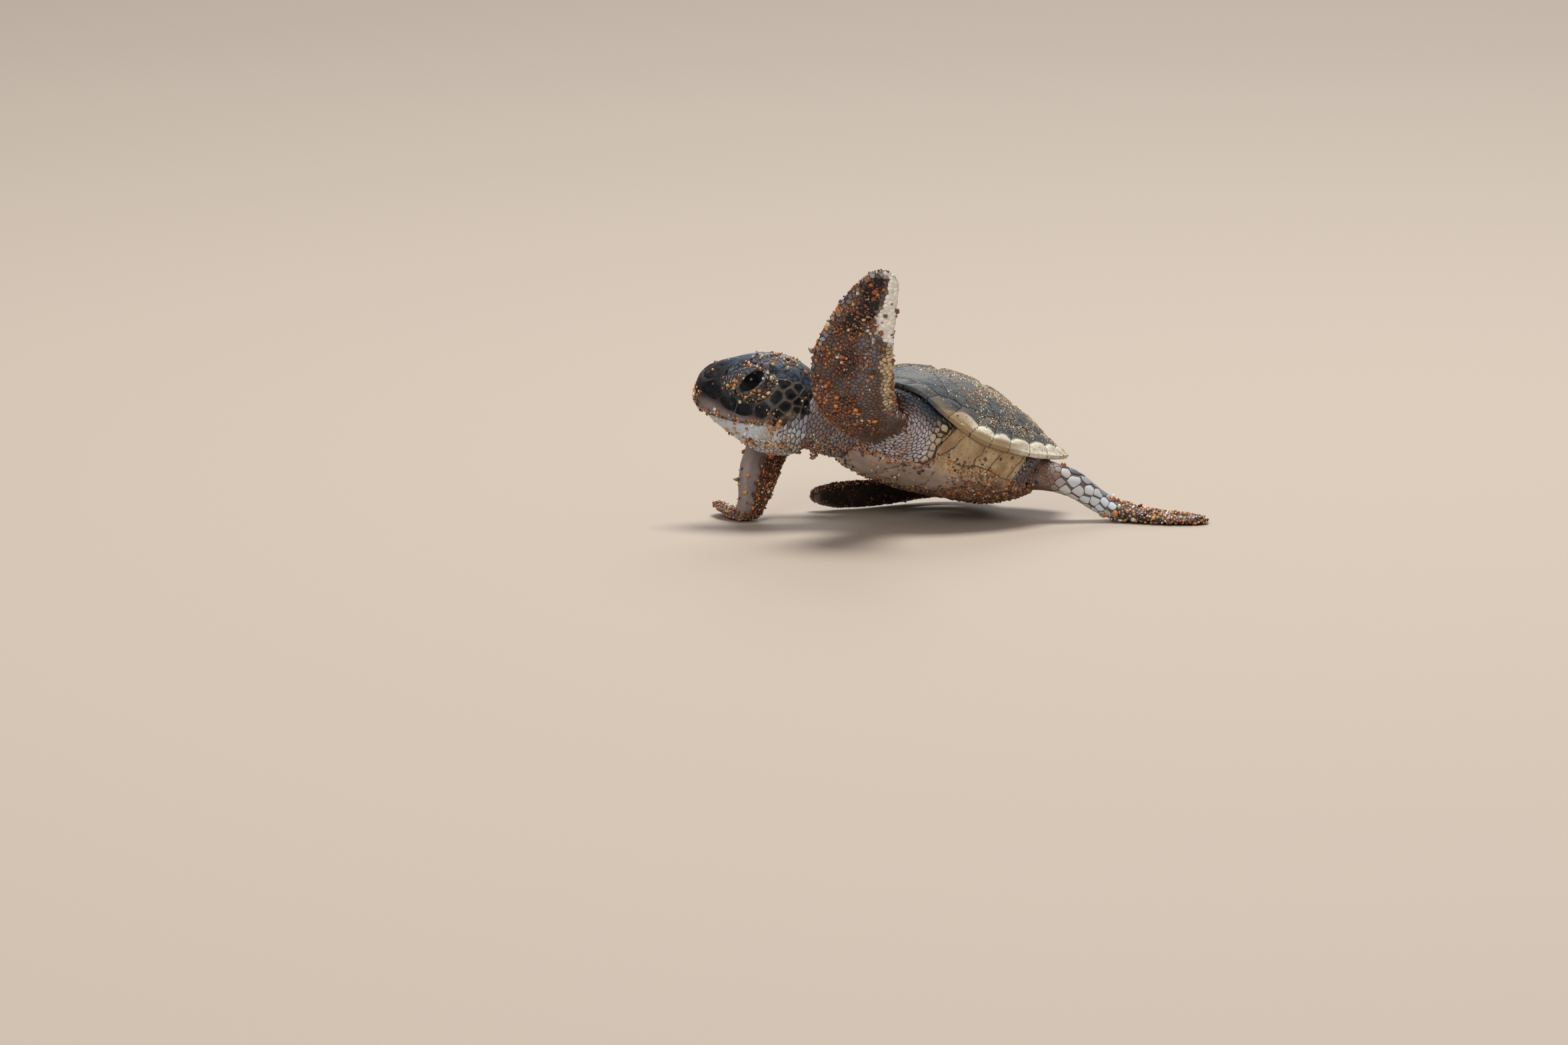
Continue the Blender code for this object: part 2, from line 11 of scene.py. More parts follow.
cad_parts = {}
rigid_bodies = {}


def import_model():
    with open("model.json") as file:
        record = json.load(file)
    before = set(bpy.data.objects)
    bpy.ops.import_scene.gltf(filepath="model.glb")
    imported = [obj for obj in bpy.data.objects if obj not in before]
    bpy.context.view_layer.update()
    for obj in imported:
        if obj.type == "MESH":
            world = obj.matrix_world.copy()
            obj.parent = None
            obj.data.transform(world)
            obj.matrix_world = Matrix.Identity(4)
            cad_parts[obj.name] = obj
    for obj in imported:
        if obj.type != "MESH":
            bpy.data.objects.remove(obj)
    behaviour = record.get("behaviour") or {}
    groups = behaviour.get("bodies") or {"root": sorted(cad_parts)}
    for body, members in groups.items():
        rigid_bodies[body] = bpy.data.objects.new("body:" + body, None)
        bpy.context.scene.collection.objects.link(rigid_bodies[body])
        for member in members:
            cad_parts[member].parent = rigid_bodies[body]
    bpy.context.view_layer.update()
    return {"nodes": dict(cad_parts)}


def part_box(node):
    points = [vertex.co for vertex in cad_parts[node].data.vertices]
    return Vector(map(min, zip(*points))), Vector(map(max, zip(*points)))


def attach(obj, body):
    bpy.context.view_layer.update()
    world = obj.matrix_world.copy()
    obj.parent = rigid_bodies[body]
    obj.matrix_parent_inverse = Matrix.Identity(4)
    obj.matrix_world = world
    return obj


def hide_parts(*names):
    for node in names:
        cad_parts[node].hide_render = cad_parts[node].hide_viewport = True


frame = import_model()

# Green sea turtle hatchling, life size. Sizes are in millimetres until a mesh is made.
MM = 0.001
NODES = frame["nodes"]
SCENE = bpy.context.scene

# ---- how the body is held: the same frames as the solids
PITCH, ROLL, SHELL_HEIGHT = math.radians(19.5), math.radians(4.5), 19.1
HEAD_YAW, HEAD_PITCH, HEAD_ROLL = math.radians(23.0), math.radians(15.7), math.radians(3.0)
HEAD_PLACE = (44.8, -8.4, 22.2)
EYE_RADIUS = 3.0
EYE_PLACE = (-7.2, 4.35, 6.6)

FLESH = ["head", "lower_jaw", "neck", "trunk", "tail", "arm_front_left", "flipper_front_left",
         "arm_front_right", "flipper_front_right", "leg_hind_left", "foot_hind_left",
         "leg_hind_right", "foot_hind_right"]
HEAD_NODES = 2             # the first of them are the head's
FACE_NODES = 3             # and with the neck
EDGE_GROWTH = 0.30         # how far the solids are grown so that the cuts between them close
SKIN_DEPTH = 0.10          # how far the skin lies inside the solids
VOXEL = 0.36               # how finely the one skin is made


def walk(forward, left, height):
    """A place in the walking frame, as millimetres."""
    return Vector((-forward, -left, height))


def turned(yaw, pitch, roll, place):
    """A frame that looks forward, turned right by yaw, nose up by pitch, left side up by roll."""
    level = math.cos(pitch)
    forward = Vector((-math.cos(yaw) * level, math.sin(yaw) * level, math.sin(pitch)))
    left = Vector((-math.sin(yaw), -math.cos(yaw), 0.0))
    up = forward.cross(left)
    if up.z < 0:
        up = -up
    left_rolled = left * math.cos(roll) + up * math.sin(roll)
    up_rolled = up * math.cos(roll) - left * math.sin(roll)
    made = Matrix((forward, left_rolled, up_rolled)).transposed().to_4x4()
    made.translation = place
    return made


def body_shift():
    """How far the solids were moved to stand over the origin, from the place of the left eye."""
    low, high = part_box("eye_left")
    eye = turned(HEAD_YAW, HEAD_PITCH, HEAD_ROLL, walk(*HEAD_PLACE)) @ Vector(EYE_PLACE)
    shift = (low + high) / 2 / MM - eye
    return Vector((shift.x, shift.y, 0.0))


SHIFT = body_shift()
SHELL = Matrix.Translation(SHIFT) @ turned(0.0, PITCH, ROLL, walk(0.0, 0.0, SHELL_HEIGHT))
HEAD = Matrix.Translation(SHIFT) @ turned(HEAD_YAW, HEAD_PITCH, HEAD_ROLL, walk(*HEAD_PLACE))


def out_of(matrix, local):
    """Points in a frame's own millimetres, as world millimetres."""
    turn = np.array(matrix.to_3x3())
    return np.asarray(local) @ turn.T + np.array(matrix.translation)


def into(matrix, points):
    """World millimetres, as points in a frame's own millimetres."""
    turn = np.array(matrix.to_3x3())
    return (np.asarray(points) - np.array(matrix.translation)) @ turn


def turn_into(matrix, directions):
    """World directions, as directions in a frame."""
    return np.asarray(directions) @ np.array(matrix.to_3x3())


AHEAD = np.array(HEAD.to_3x3() @ Vector((1.0, 0.0, 0.0)))


def on_side(place, side):
    """A place of the left side, or the same one on the right side."""
    return np.array([place[0], side * place[1], place[2]])


def part_of(parts, *names):
    """Which points lie on the nodes whose names end in one of these."""
    return np.isin(parts, [i for i, node in enumerate(FLESH) if node.endswith(names)])


def ease(x, low, high):
    """0 at low, 1 at high, eased between. Low may be above high."""
    t = np.clip((x - low) / (high - low), 0.0, 1.0)
    return t * t * (3.0 - 2.0 * t)


def read(stations, x):
    """The value at each x of a smooth line through (x, value) stations, in rising x."""
    xs = np.array([s[0] for s in stations], float)
    ys = np.array([s[1] for s in stations], float)
    slopes = np.gradient(ys, xs)
    x = np.clip(np.asarray(x, float), xs[0], xs[-1])
    i = np.clip(np.searchsorted(xs, x, side="right") - 1, 0, len(xs) - 2)
    h = xs[i + 1] - xs[i]
    t = (x - xs[i]) / h
    return ((2 * t ** 3 - 3 * t ** 2 + 1) * ys[i] + (t ** 3 - 2 * t ** 2 + t) * h * slopes[i]
            + (-2 * t ** 3 + 3 * t ** 2) * ys[i + 1] + (t ** 3 - t ** 2) * h * slopes[i + 1])


def bell(x, width):
    """1 at 0, falling away on both sides."""
    return np.exp(-(x / width) ** 2)


def lattice(i, j, k, seed):
    """A steady random number, 0 to 1, for each whole-numbered place."""
    h = (i * 374761393 + j * 668265263 + k * 1442695041 + seed * 974634777) & 0xFFFFFFFF
    h = ((h ^ (h >> 13)) * 1274126177) & 0xFFFFFFFF
    h = ((h ^ (h >> 15)) * 2246822519) & 0xFFFFFFFF
    return ((h ^ (h >> 16)) & 0xFFFF) / 65535.0


def lumps(points, size, seed=0):
    """Smooth noise, 0 to 1, with lumps of the given size."""
    q = np.asarray(points) / size
    base = np.floor(q).astype(np.int64)
    f = q - base
    f = f * f * (3.0 - 2.0 * f)
    total = np.zeros(len(q))
    for di in (0, 1):
        for dj in (0, 1):
            for dk in (0, 1):
                share = np.abs(1 - di - f[:, 0]) * np.abs(1 - dj - f[:, 1]) * np.abs(1 - dk - f[:, 2])
                total += share * lattice(base[:, 0] + di, base[:, 1] + dj, base[:, 2] + dk, seed)
    return total


def lumpy(points, size, seed=0):
    """Noise in three sizes, 0 to 1."""
    return (lumps(points, size, seed) * 4 + lumps(points, size / 2, seed + 1) * 2
            + lumps(points, size / 4, seed + 2)) / 7


def mix(first, second, share):
    """Two colours, or rows of them, mixed by a share for each row."""
    share = np.asarray(share)[..., None]
    return np.asarray(first) * (1.0 - share) + np.asarray(second) * share


# ---- meshes

def deselect():
    """Let go of every object."""
    for thing in bpy.context.view_layer.objects:
        thing.select_set(False)


def pick(thing):
    """Select one object alone."""
    deselect()
    thing.select_set(True)
    bpy.context.view_layer.objects.active = thing


@contextmanager
def editing(thing, chosen=None):
    """Work on one mesh in edit mode, with all its points selected or only the chosen ones."""
    pick(thing)
    bpy.ops.object.mode_set(mode="EDIT")
    bpy.ops.mesh.select_mode(type="VERT")
    bpy.ops.mesh.select_all(action="SELECT" if chosen is None else "DESELECT")
    if chosen is not None:
        bpy.ops.object.mode_set(mode="OBJECT")
        thing.data.vertices.foreach_set("select", chosen)
        bpy.ops.object.mode_set(mode="EDIT")
    yield
    bpy.ops.object.mode_set(mode="OBJECT")


def added(name):
    """The object that was just added, under its name."""
    thing = bpy.context.view_layer.objects.active
    thing.name = thing.data.name = name
    return thing


def column(items, key, width=1, kind=float):
    """One property of all of a mesh's points, edges or faces."""
    flat = np.zeros(len(items) * width, kind)
    items.foreach_get(key, flat)
    return flat.reshape(-1, width) if width > 1 else flat


def corners_of(thing):
    """The point that each corner of each face stands on."""
    return column(thing.data.loops, "vertex_index", 1, np.int32)


def points_of(thing):
    """A mesh's points, as world millimetres."""
    return column(thing.data.vertices, "co", 3) / MM


def normals_of(thing):
    """The way that a mesh faces at each of its points."""
    return column(thing.data.vertex_normals, "vector", 3)


def move_points(thing, points):
    """Put a mesh's points at world millimetres."""
    thing.data.vertices.foreach_set("co", (np.asarray(points) * MM).ravel())
    thing.data.update()


def write_values(thing, name, values):
    """Give each point of a mesh a number that its material reads."""
    made = thing.data.attributes.new(name, "FLOAT", "POINT")
    made.data.foreach_set("value", np.asarray(values, float))


def write_colours(thing, name, colours):
    """Give each point of a mesh a colour that its material reads."""
    full = np.ones((len(colours), 4))
    full[:, :3] = np.clip(colours, 0.0, 1.0)
    made = thing.data.attributes.new(name, "FLOAT_COLOR", "POINT")
    made.data.foreach_set("color", full.ravel())


def tree_of(places):
    """A search tree over some places."""
    tree = KDTree(len(places))
    for i, p in enumerate(places):
        tree.insert(p, i)
    tree.balance()
    return tree


def surface_of(thing):
    """A tree that finds the nearest place on a mesh, in millimetres."""
    thing.data.calc_loop_triangles()
    triangles = column(thing.data.loop_triangles, "vertices", 3, np.int32)
    return BVHTree.FromPolygons([Vector(p) for p in points_of(thing)], triangles.tolist())


def mesh_piece(name, points, faces):
    """A new smooth-shaded piece from points in millimetres."""
    data = bpy.data.meshes.new(name)
    data.from_pydata((np.asarray(points) * MM).tolist(), [], faces)
    data.update()
    made = bpy.data.objects.new(name, data)
    SCENE.collection.objects.link(made)
    data.polygons.foreach_set("use_smooth", [True] * len(data.polygons))
    return made


def mount_piece(piece, look, slot, *replaced):
    """Give a finished piece its material, its body and the solids that it stands for."""
    piece.data.materials.clear()
    piece.data.materials.append(look)
    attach(piece, "root")
    if replaced:
        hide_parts(*replaced)


# ---- face

LID_RADIUS = 3.45
LID_HALF_LONG, LID_HALF_SHORT = 2.80, 1.20     # the eye's opening
LID_LEAN = (-0.60, 0.80)                       # its long way: forward, up
LID_CENTRE = (0.35, 0.35)
ORBIT_LONG, ORBIT_SHORT = 4.55, 3.45           # the crease round the lids
ORBIT_LEAN = (-0.97, 0.24)
ORBIT_CENTRE = (0.85, -0.1)
BEHIND_THE_HEAD = 9.0                          # stands for a place that no eye is near
LID_INSIDE = 2.72                              # how near the eye's middle the lid's edge turns in
MOUTH_LINE = [(-13.0, 0.45), (-12.2, 0.2), (-10.5, -0.35), (-7.0, -0.95), (-4.0, -1.15), (-1.0, -1.2),
              (1.5, -1.05), (3.0, -0.8)]
NOSTRIL = (1.9, 1.25, 4.9)
SNOUT_MIDDLE = (2.0, 0.0, 4.6)
FINE_RINGS = (4.9, 3.4)                        # how far round the eyes the faces are made finer, in two steps
CLAW_LENGTH = 1.2


def eye_measures(local, side):
    """How far out from the eye's opening each place on the head is, and the eye's middle."""
    middle = on_side(EYE_PLACE, side)
    offset = local - middle
    radius = np.linalg.norm(offset, axis=1)
    unit = offset / np.maximum(radius, 1e-6)[:, None]
    facing = unit[:, 1] * side
    scale = EYE_RADIUS / np.maximum(0.35, np.sqrt((1 + np.maximum(facing, 0)) / 2))
    x = unit[:, 0] * scale - LID_CENTRE[0]
    y = unit[:, 2] * scale - LID_CENTRE[1]
    along = x * LID_LEAN[0] + y * LID_LEAN[1]
    across = x * LID_LEAN[1] - y * LID_LEAN[0]
    opening = (np.abs(along / LID_HALF_LONG) ** 1.7 + np.abs(across / LID_HALF_SHORT) ** 1.9) ** (1 / 1.8)
    opening = np.where(facing > 0.15, opening, BEHIND_THE_HEAD)
    wide = offset[:, 0] - ORBIT_CENTRE[0]
    tall = offset[:, 2] - ORBIT_CENTRE[1]
    ring = np.hypot((wide * ORBIT_LEAN[0] + tall * ORBIT_LEAN[1]) / ORBIT_LONG,
                    (wide * ORBIT_LEAN[1] - tall * ORBIT_LEAN[0]) / ORBIT_SHORT)
    ring = np.where(local[:, 1] * side > 1.2, ring, BEHIND_THE_HEAD)
    return middle, radius, unit, opening, ring, across


def shape_lids(local, outward):
    """Open the lids over the eyes, with folds round them and a crease round the orbit."""
    for side in (1, -1):
        middle, radius, unit, opening, ring, _ = eye_measures(local, side)
        lid = (LID_INSIDE + (LID_RADIUS - LID_INSIDE) * ease(opening, 0.92, 1.16)
               + 0.16 * bell(opening - 1.28, 0.16))
        fold = (0.07 * np.sin((opening - 1.2) * 21.0) * ease(opening, 1.25, 1.45)
                * (1 - ease(opening, 2.1, 2.6)))
        hold = 1.0 - ease(opening, 1.5, 2.5)
        shaped = np.where(opening < 2.6, lid * hold + radius * (1.0 - hold) + fold, radius)
        crease = (0.55 * bell(ring - 1.0, 0.05) - 0.16 * bell(ring - 0.90, 0.05)
                  + 0.14 * bell(ring - 0.80, 0.035))
        crease = np.where(opening > 1.3, crease, 0.0)
        local = middle + unit * shaped[:, None] - outward * crease[:, None]
    return local


def over_mouth(local):
    """Height over the mouth's line."""
    return local[:, 2] - read(MOUTH_LINE, local[:, 0])


def mouth_gap(local):
    """Height over the mouth's line, and how much of the mouth there is at each place."""
    present = ease(local[:, 0], -13.2, -12.0) * (local[:, 0] < 6.0)
    return over_mouth(local), present


def nostril_gap(local, side):
    """Distance to the nostril of one side."""
    return np.linalg.norm(local - on_side(NOSTRIL, side), axis=1)


def shape_mouth(local, outward):
    """Part the jaws by a groove, let the upper lip hang over a little, and sink the nostrils."""
    over, present = mouth_gap(local)
    groove = 0.42 * bell(over + 0.05, 0.17) - 0.13 * bell(over - 0.42, 0.30)
    groove += 0.07 * bell(over + 0.55, 0.22)
    local = local - outward * (groove * present)[:, None]
    for side in (1, -1):
        away = nostril_gap(local, side)
        local = local - outward * (0.42 * bell(away, 0.34) - 0.10 * bell(away - 0.62, 0.22))[:, None]
    return local


def refine_face(skin):
    """Finer faces round the eyes, the mouth and the nostrils."""
    for reach in FINE_RINGS:
        local = into(HEAD, points_of(skin))
        close = np.zeros(len(local), bool)
        for side in (1, -1):
            middle = np.array([EYE_PLACE[0] + 0.2, side * (EYE_PLACE[1] + 2.0), EYE_PLACE[2] + 0.1])
            close |= np.linalg.norm(local - middle, axis=1) < reach
        if reach == FINE_RINGS[0]:
            over, present = mouth_gap(local)
            close |= (np.abs(over) < 0.8) & (present > 0.3)
            close |= np.linalg.norm(local - np.array(SNOUT_MIDDLE), axis=1) < 2.2
        with editing(skin, close):
            bpy.ops.mesh.subdivide(number_cuts=1, smoothness=0.0)
    with editing(skin):
        bpy.ops.mesh.quads_convert_to_tris()


def eyeball(side, name):
    """A glossy ball with a slightly fuller front."""
    centre = out_of(HEAD, [on_side(EYE_PLACE, side)])[0]
    deselect()
    bpy.ops.mesh.primitive_uv_sphere_add(segments=64, ring_count=32, radius=EYE_RADIUS * MM)
    ball = added(name)
    points = points_of(ball)
    look_out = np.array(HEAD.to_3x3() @ Vector((0.16, side * 0.96, 0.2)).normalized())
    front = np.clip((points / EYE_RADIUS) @ look_out, 0.0, 1.0)
    points = points * (1.0 + 0.05 * ease(front, 0.8, 1.0))[:, None]
    write_values(ball, "front", front)
    move_points(ball, points + centre)
    bpy.ops.object.shade_smooth()
    return ball


def claw(limb, share, name):
    """A short curved claw on the leading edge of a front flipper."""
    low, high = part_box(name)
    centre = np.array((low + high) / 2) / MM
    path = PATHS[limb]
    step = int(share * (len(path.path) - 1))
    lean = (Vector(path.across[step]) * 0.85 + Vector(path.along[step]) * 0.5).normalized()
    deselect()
    bpy.ops.mesh.primitive_cone_add(vertices=20, radius1=0.38 * MM, radius2=0.06 * MM,
                                    depth=CLAW_LENGTH * MM, end_fill_type="TRIFAN")
    made = added(name + "_horn")
    with editing(made):
        bpy.ops.mesh.subdivide(number_cuts=3, smoothness=0.4)
    points = points_of(made)
    height = points[:, 2] / CLAW_LENGTH + 0.5
    points[:, 0] += 0.22 * height ** 2
    turn = np.array(Vector((0.0, 0.0, 1.0)).rotation_difference(lean).to_matrix())
    write_values(made, "height", height)
    move_points(made, points @ turn.T + centre - np.array(lean) * 0.75)
    bpy.ops.object.shade_smooth()
    return made


# ---- shell shapes

SHELL_FRONT, SHELL_REAR, HALF_WIDTH, WIDEST_AT = 24.5, 25.5, 19.2, 2.0
RIM_LINE = [(-25.5, 0.0), (-18.0, -2.0), (-8.0, -3.8), (2.0, -4.0), (9.0, -1.6), (15.0, 1.2), (24.5, 0.3)]
KEEL_LINE = [(-25.5, 0.0), (-21.0, 3.9), (-12.0, 6.5), (-3.5, 7.2), (5.0, 7.2), (13.5, 6.6), (20.0, 4.4),
             (24.5, 1.0)]
BELLY_LINE = [(-24.0, -8.0), (-19.0, -11.2), (-12.0, -13.6), (-4.0, -14.6), (8.0, -15.4), (16.0, -15.6),
              (21.0, -14.6), (24.0, -12.5)]

# the seams between the horn plates on one side, seen from above: forward, left
SPINE_PLATES = [(21.5, 3.2), (17.5, 5.0), (13.5, 3.4), (9.0, 5.8), (4.5, 3.8), (-0.2, 6.0), (-5.0, 3.7),
                (-9.5, 5.4), (-14.0, 2.9), (-18.0, 4.1), (-21.5, 2.4)]
SPINE_CROSSINGS = [SPINE_PLATES[i] for i in (0, 2, 4, 6, 8, 10)]
RIB_SEAMS = [((17.5, 5.0), (17.0, 9.0)), ((9.0, 5.8), (8.0, 14.9)), ((-0.2, 6.0), (-2.6, 15.0)),
             ((-9.5, 5.4), (-12.2, 12.0)), ((-18.0, 4.1), (-19.4, 6.6))]
# bearings of the rim's seams in degrees: 0 is the front, 180 the rear
RIM_SEAMS = [-9.0, 9, 22, 37, 52, 66, 78, 88, 96.5, 105.5, 117, 130, 143.5, 157, 169.5, 180, 190.0]
RIM_PLATE_REACH = 0.80
RIM_SEAM_LEAN = 6.0        # degrees that a rim seam turns back on its way in
SEAM_DEPTH, SEAM_WIDTH = 0.15, 0.15
SEAM_REACH = 0.45          # how far beside a seam its colour can reach
PALE_FROM = [      # forward, and how far out the pale band of the rim begins there
    (-25.0, 0.91), (-13.6, 0.915), (-8.4, 0.925), (-3.4, 0.92), (2.0, 0.90), (6.0, 0.90), (8.5, 0.96),
    (10.5, 1.01), (25.0, 1.02)]
COLUMNS = 560              # points round each shell
EDGE_THICKNESS = 0.85
NOTCH = 0.22               # how wide and deep the rim's seams notch its edge
BELLY_SEAMS = [((19.5, 0.0), (19.0, 8.0)), ((12.6, 0.0), (12.8, 9.3)), ((12.8, 9.3), (10.9, 13.4)),
               ((4.6, 0.0), (5.0, 9.0)), ((5.0, 9.0), (6.8, 15.6)), ((-6.0, 0.0), (-6.4, 8.0)),
               ((-6.4, 8.0), (-7.6, 14.0)), ((-14.5, 0.0), (-14.0, 5.0)), ((-14.0, 5.0), (-12.5, 11.0)),
               ((20.5, 0.0), (-22.0, 0.0))]
BRIDGE_SEAMS = [((4.2, -4.6), (7.0, -9.6)), ((-0.9, -4.2), (1.0, -9.6)), ((-5.0, -4.0), (-2.2, -9.6)),
                ((-10.4, -3.8), (-7.4, -9.6))]
BRIDGE_FOOT = -9.5
BELLY_FRONT, BELLY_REAR = 0.84, 0.88       # the lower shell's length against the upper one's
BELLY_SIDE, BRIDGE_SIDE = 0.72, 0.21       # and its width, away from the bridge, with what the bridge adds
BELLY_RISE = 3.2           # how far its edge stands over its middle


def rim_place(angle):
    """The carapace edge seen from above: 0 is the front, pi the rear."""
    c, s = np.cos(angle), np.sin(angle)
    ahead = c >= 0
    forward = WIDEST_AT + np.where(ahead, (SHELL_FRONT - WIDEST_AT) * np.abs(c) ** 0.8,
                                   -(SHELL_REAR + WIDEST_AT) * np.abs(c))
    half = HALF_WIDTH * np.abs(s) ** np.where(ahead, 2 / 1.9, 2 / 1.5)
    return forward, np.copysign(half, s)


RIM_ANGLES = np.linspace(-math.pi, math.pi, 721)
RIM_POINTS = np.stack(rim_place(RIM_ANGLES), 1)
RIM_BEARINGS = np.unwrap(np.arctan2(RIM_POINTS[:, 1], RIM_POINTS[:, 0]))


def plan_reach(f, l):
    """How far out towards the rim a place is, seen from above: 1 is the rim."""
    bearing = np.arctan2(l, f)
    radius = np.interp(bearing, RIM_BEARINGS, np.hypot(RIM_POINTS[:, 0], RIM_POINTS[:, 1]))
    return np.hypot(f, l) / radius


def dome(f, l, reach):
    """Height of the carapace at a share of the way out to the rim."""
    edge = read(RIM_LINE, np.where(reach > 0.5, f / np.maximum(reach, 0.05), f))
    across = 1.0 - reach ** 2.3
    return edge * reach ** 3 + (read(KEEL_LINE, f) + 0.5 * bell(l, 1.6)) * across


def carapace_height(f, l):
    """Height of the upper shell over a place."""
    return dome(f, l, np.minimum(plan_reach(f, l), 1.0))


def belly_height(f, l):
    """Height of the lower shell at a place."""
    share = np.minimum(np.abs(l) / 17.0, 1.0)
    return read(BELLY_LINE, f) + BELLY_RISE * share ** 4


def segment_gap(places, start, end):
    """Distance from each place to a straight seam."""
    start, end = np.array(start, float), np.array(end, float)
    run = end - start
    t = np.clip(((places - start) @ run) / (run @ run), 0.0, 1.0)
    return np.linalg.norm(places - (start + t[:, None] * run), axis=1)


def seam_gap(places, seams):
    """Distance from each place to the nearest of some seams."""
    gap = np.full(len(places), 99.0)
    for start, end in seams:
        gap = np.minimum(gap, segment_gap(places, start, end))
    return gap


def both_sides(places):
    """Places folded onto the left side, with a slow wander so that no seam runs dead straight."""
    folded = np.stack([places[:, 0], np.abs(places[:, 1])], 1)
    three = np.column_stack([places, np.zeros(len(places))])
    folded[:, 0] += (lumps(three, 1.6, 3) - 0.5) * 0.45
    folded[:, 1] += (lumps(three, 1.6, 4) - 0.5) * 0.45
    return folded


def rim_wave(angle, reach):
    """Distance to the nearest rim seam, and where in its plate a place is (0 to 1)."""
    turn = np.degrees(np.abs(angle)) - RIM_SEAM_LEAN * (1.0 - reach) / (1.0 - RIM_PLATE_REACH)
    seams = np.array(RIM_SEAMS)
    i = np.clip(np.searchsorted(seams, turn) - 1, 0, len(seams) - 2)
    share = (turn - seams[i]) / (seams[i + 1] - seams[i])
    forward, left = rim_place(np.radians(seams[i]))
    forward_next, left_next = rim_place(np.radians(seams[i + 1]))
    size = np.hypot(forward_next - forward, left_next - left)
    return np.minimum(share, 1.0 - share) * size, share


def seam_ramp(gap, width=SEAM_REACH):
    """1 on a seam, falling evenly to 0 beside it."""
    return np.clip(1.0 - gap / width, 0.0, 1.0)


class ShellRows:
    """Rings of points from a shell's middle out to its rim and back inside, with values for its material."""

    def __init__(self, *names):
        self.rows, self.values = [], {name: [] for name in names}

    def add(self, forward, left, up, **values):
        """One more ring of points."""
        self.rows.append(np.stack([forward, left, up], 1))
        for name, value in values.items():
            self.values[name].append(np.full(COLUMNS, value))

    def close(self, name, at_ends):
        """The closed piece. at_ends gives each value at its first and last point, where they aren't 0."""
        points, faces = out_of(SHELL, np.concatenate(self.rows)), []
        last = (len(self.rows) - 1) * COLUMNS
        for a in range(0, last, COLUMNS):
            for k in range(COLUMNS):
                n = (k + 1) % COLUMNS
                faces.append((a + k, a + COLUMNS + k, a + COLUMNS + n, a + n))
        points = np.vstack([points, points[:COLUMNS].mean(0), points[-COLUMNS:].mean(0)])
        for k in range(COLUMNS):
            n = (k + 1) % COLUMNS
            faces.append((k, n, len(points) - 2))
            faces.append((last + n, last + k, len(points) - 1))
        shell = mesh_piece(name, points, faces)
        for key, rows in self.values.items():
            write_values(shell, key, np.concatenate(rows + [at_ends.get(key, (0.0, 0.0))]))
        with editing(shell):
            bpy.ops.mesh.normals_make_consistent(inside=False)
        return shell


ANGLES = np.linspace(0.0, 2 * math.pi, COLUMNS, endpoint=False)
OUT_F, OUT_L = np.cos(ANGLES), np.sin(ANGLES)
SPINE_SEAMS = list(zip(SPINE_PLATES, SPINE_PLATES[1:])) + [((f, 0.0), (f, l)) for f, l in SPINE_CROSSINGS]
KEEL_BREAKS = [((f, 0.0), (f, 3.0)) for f, _ in SPINE_CROSSINGS]


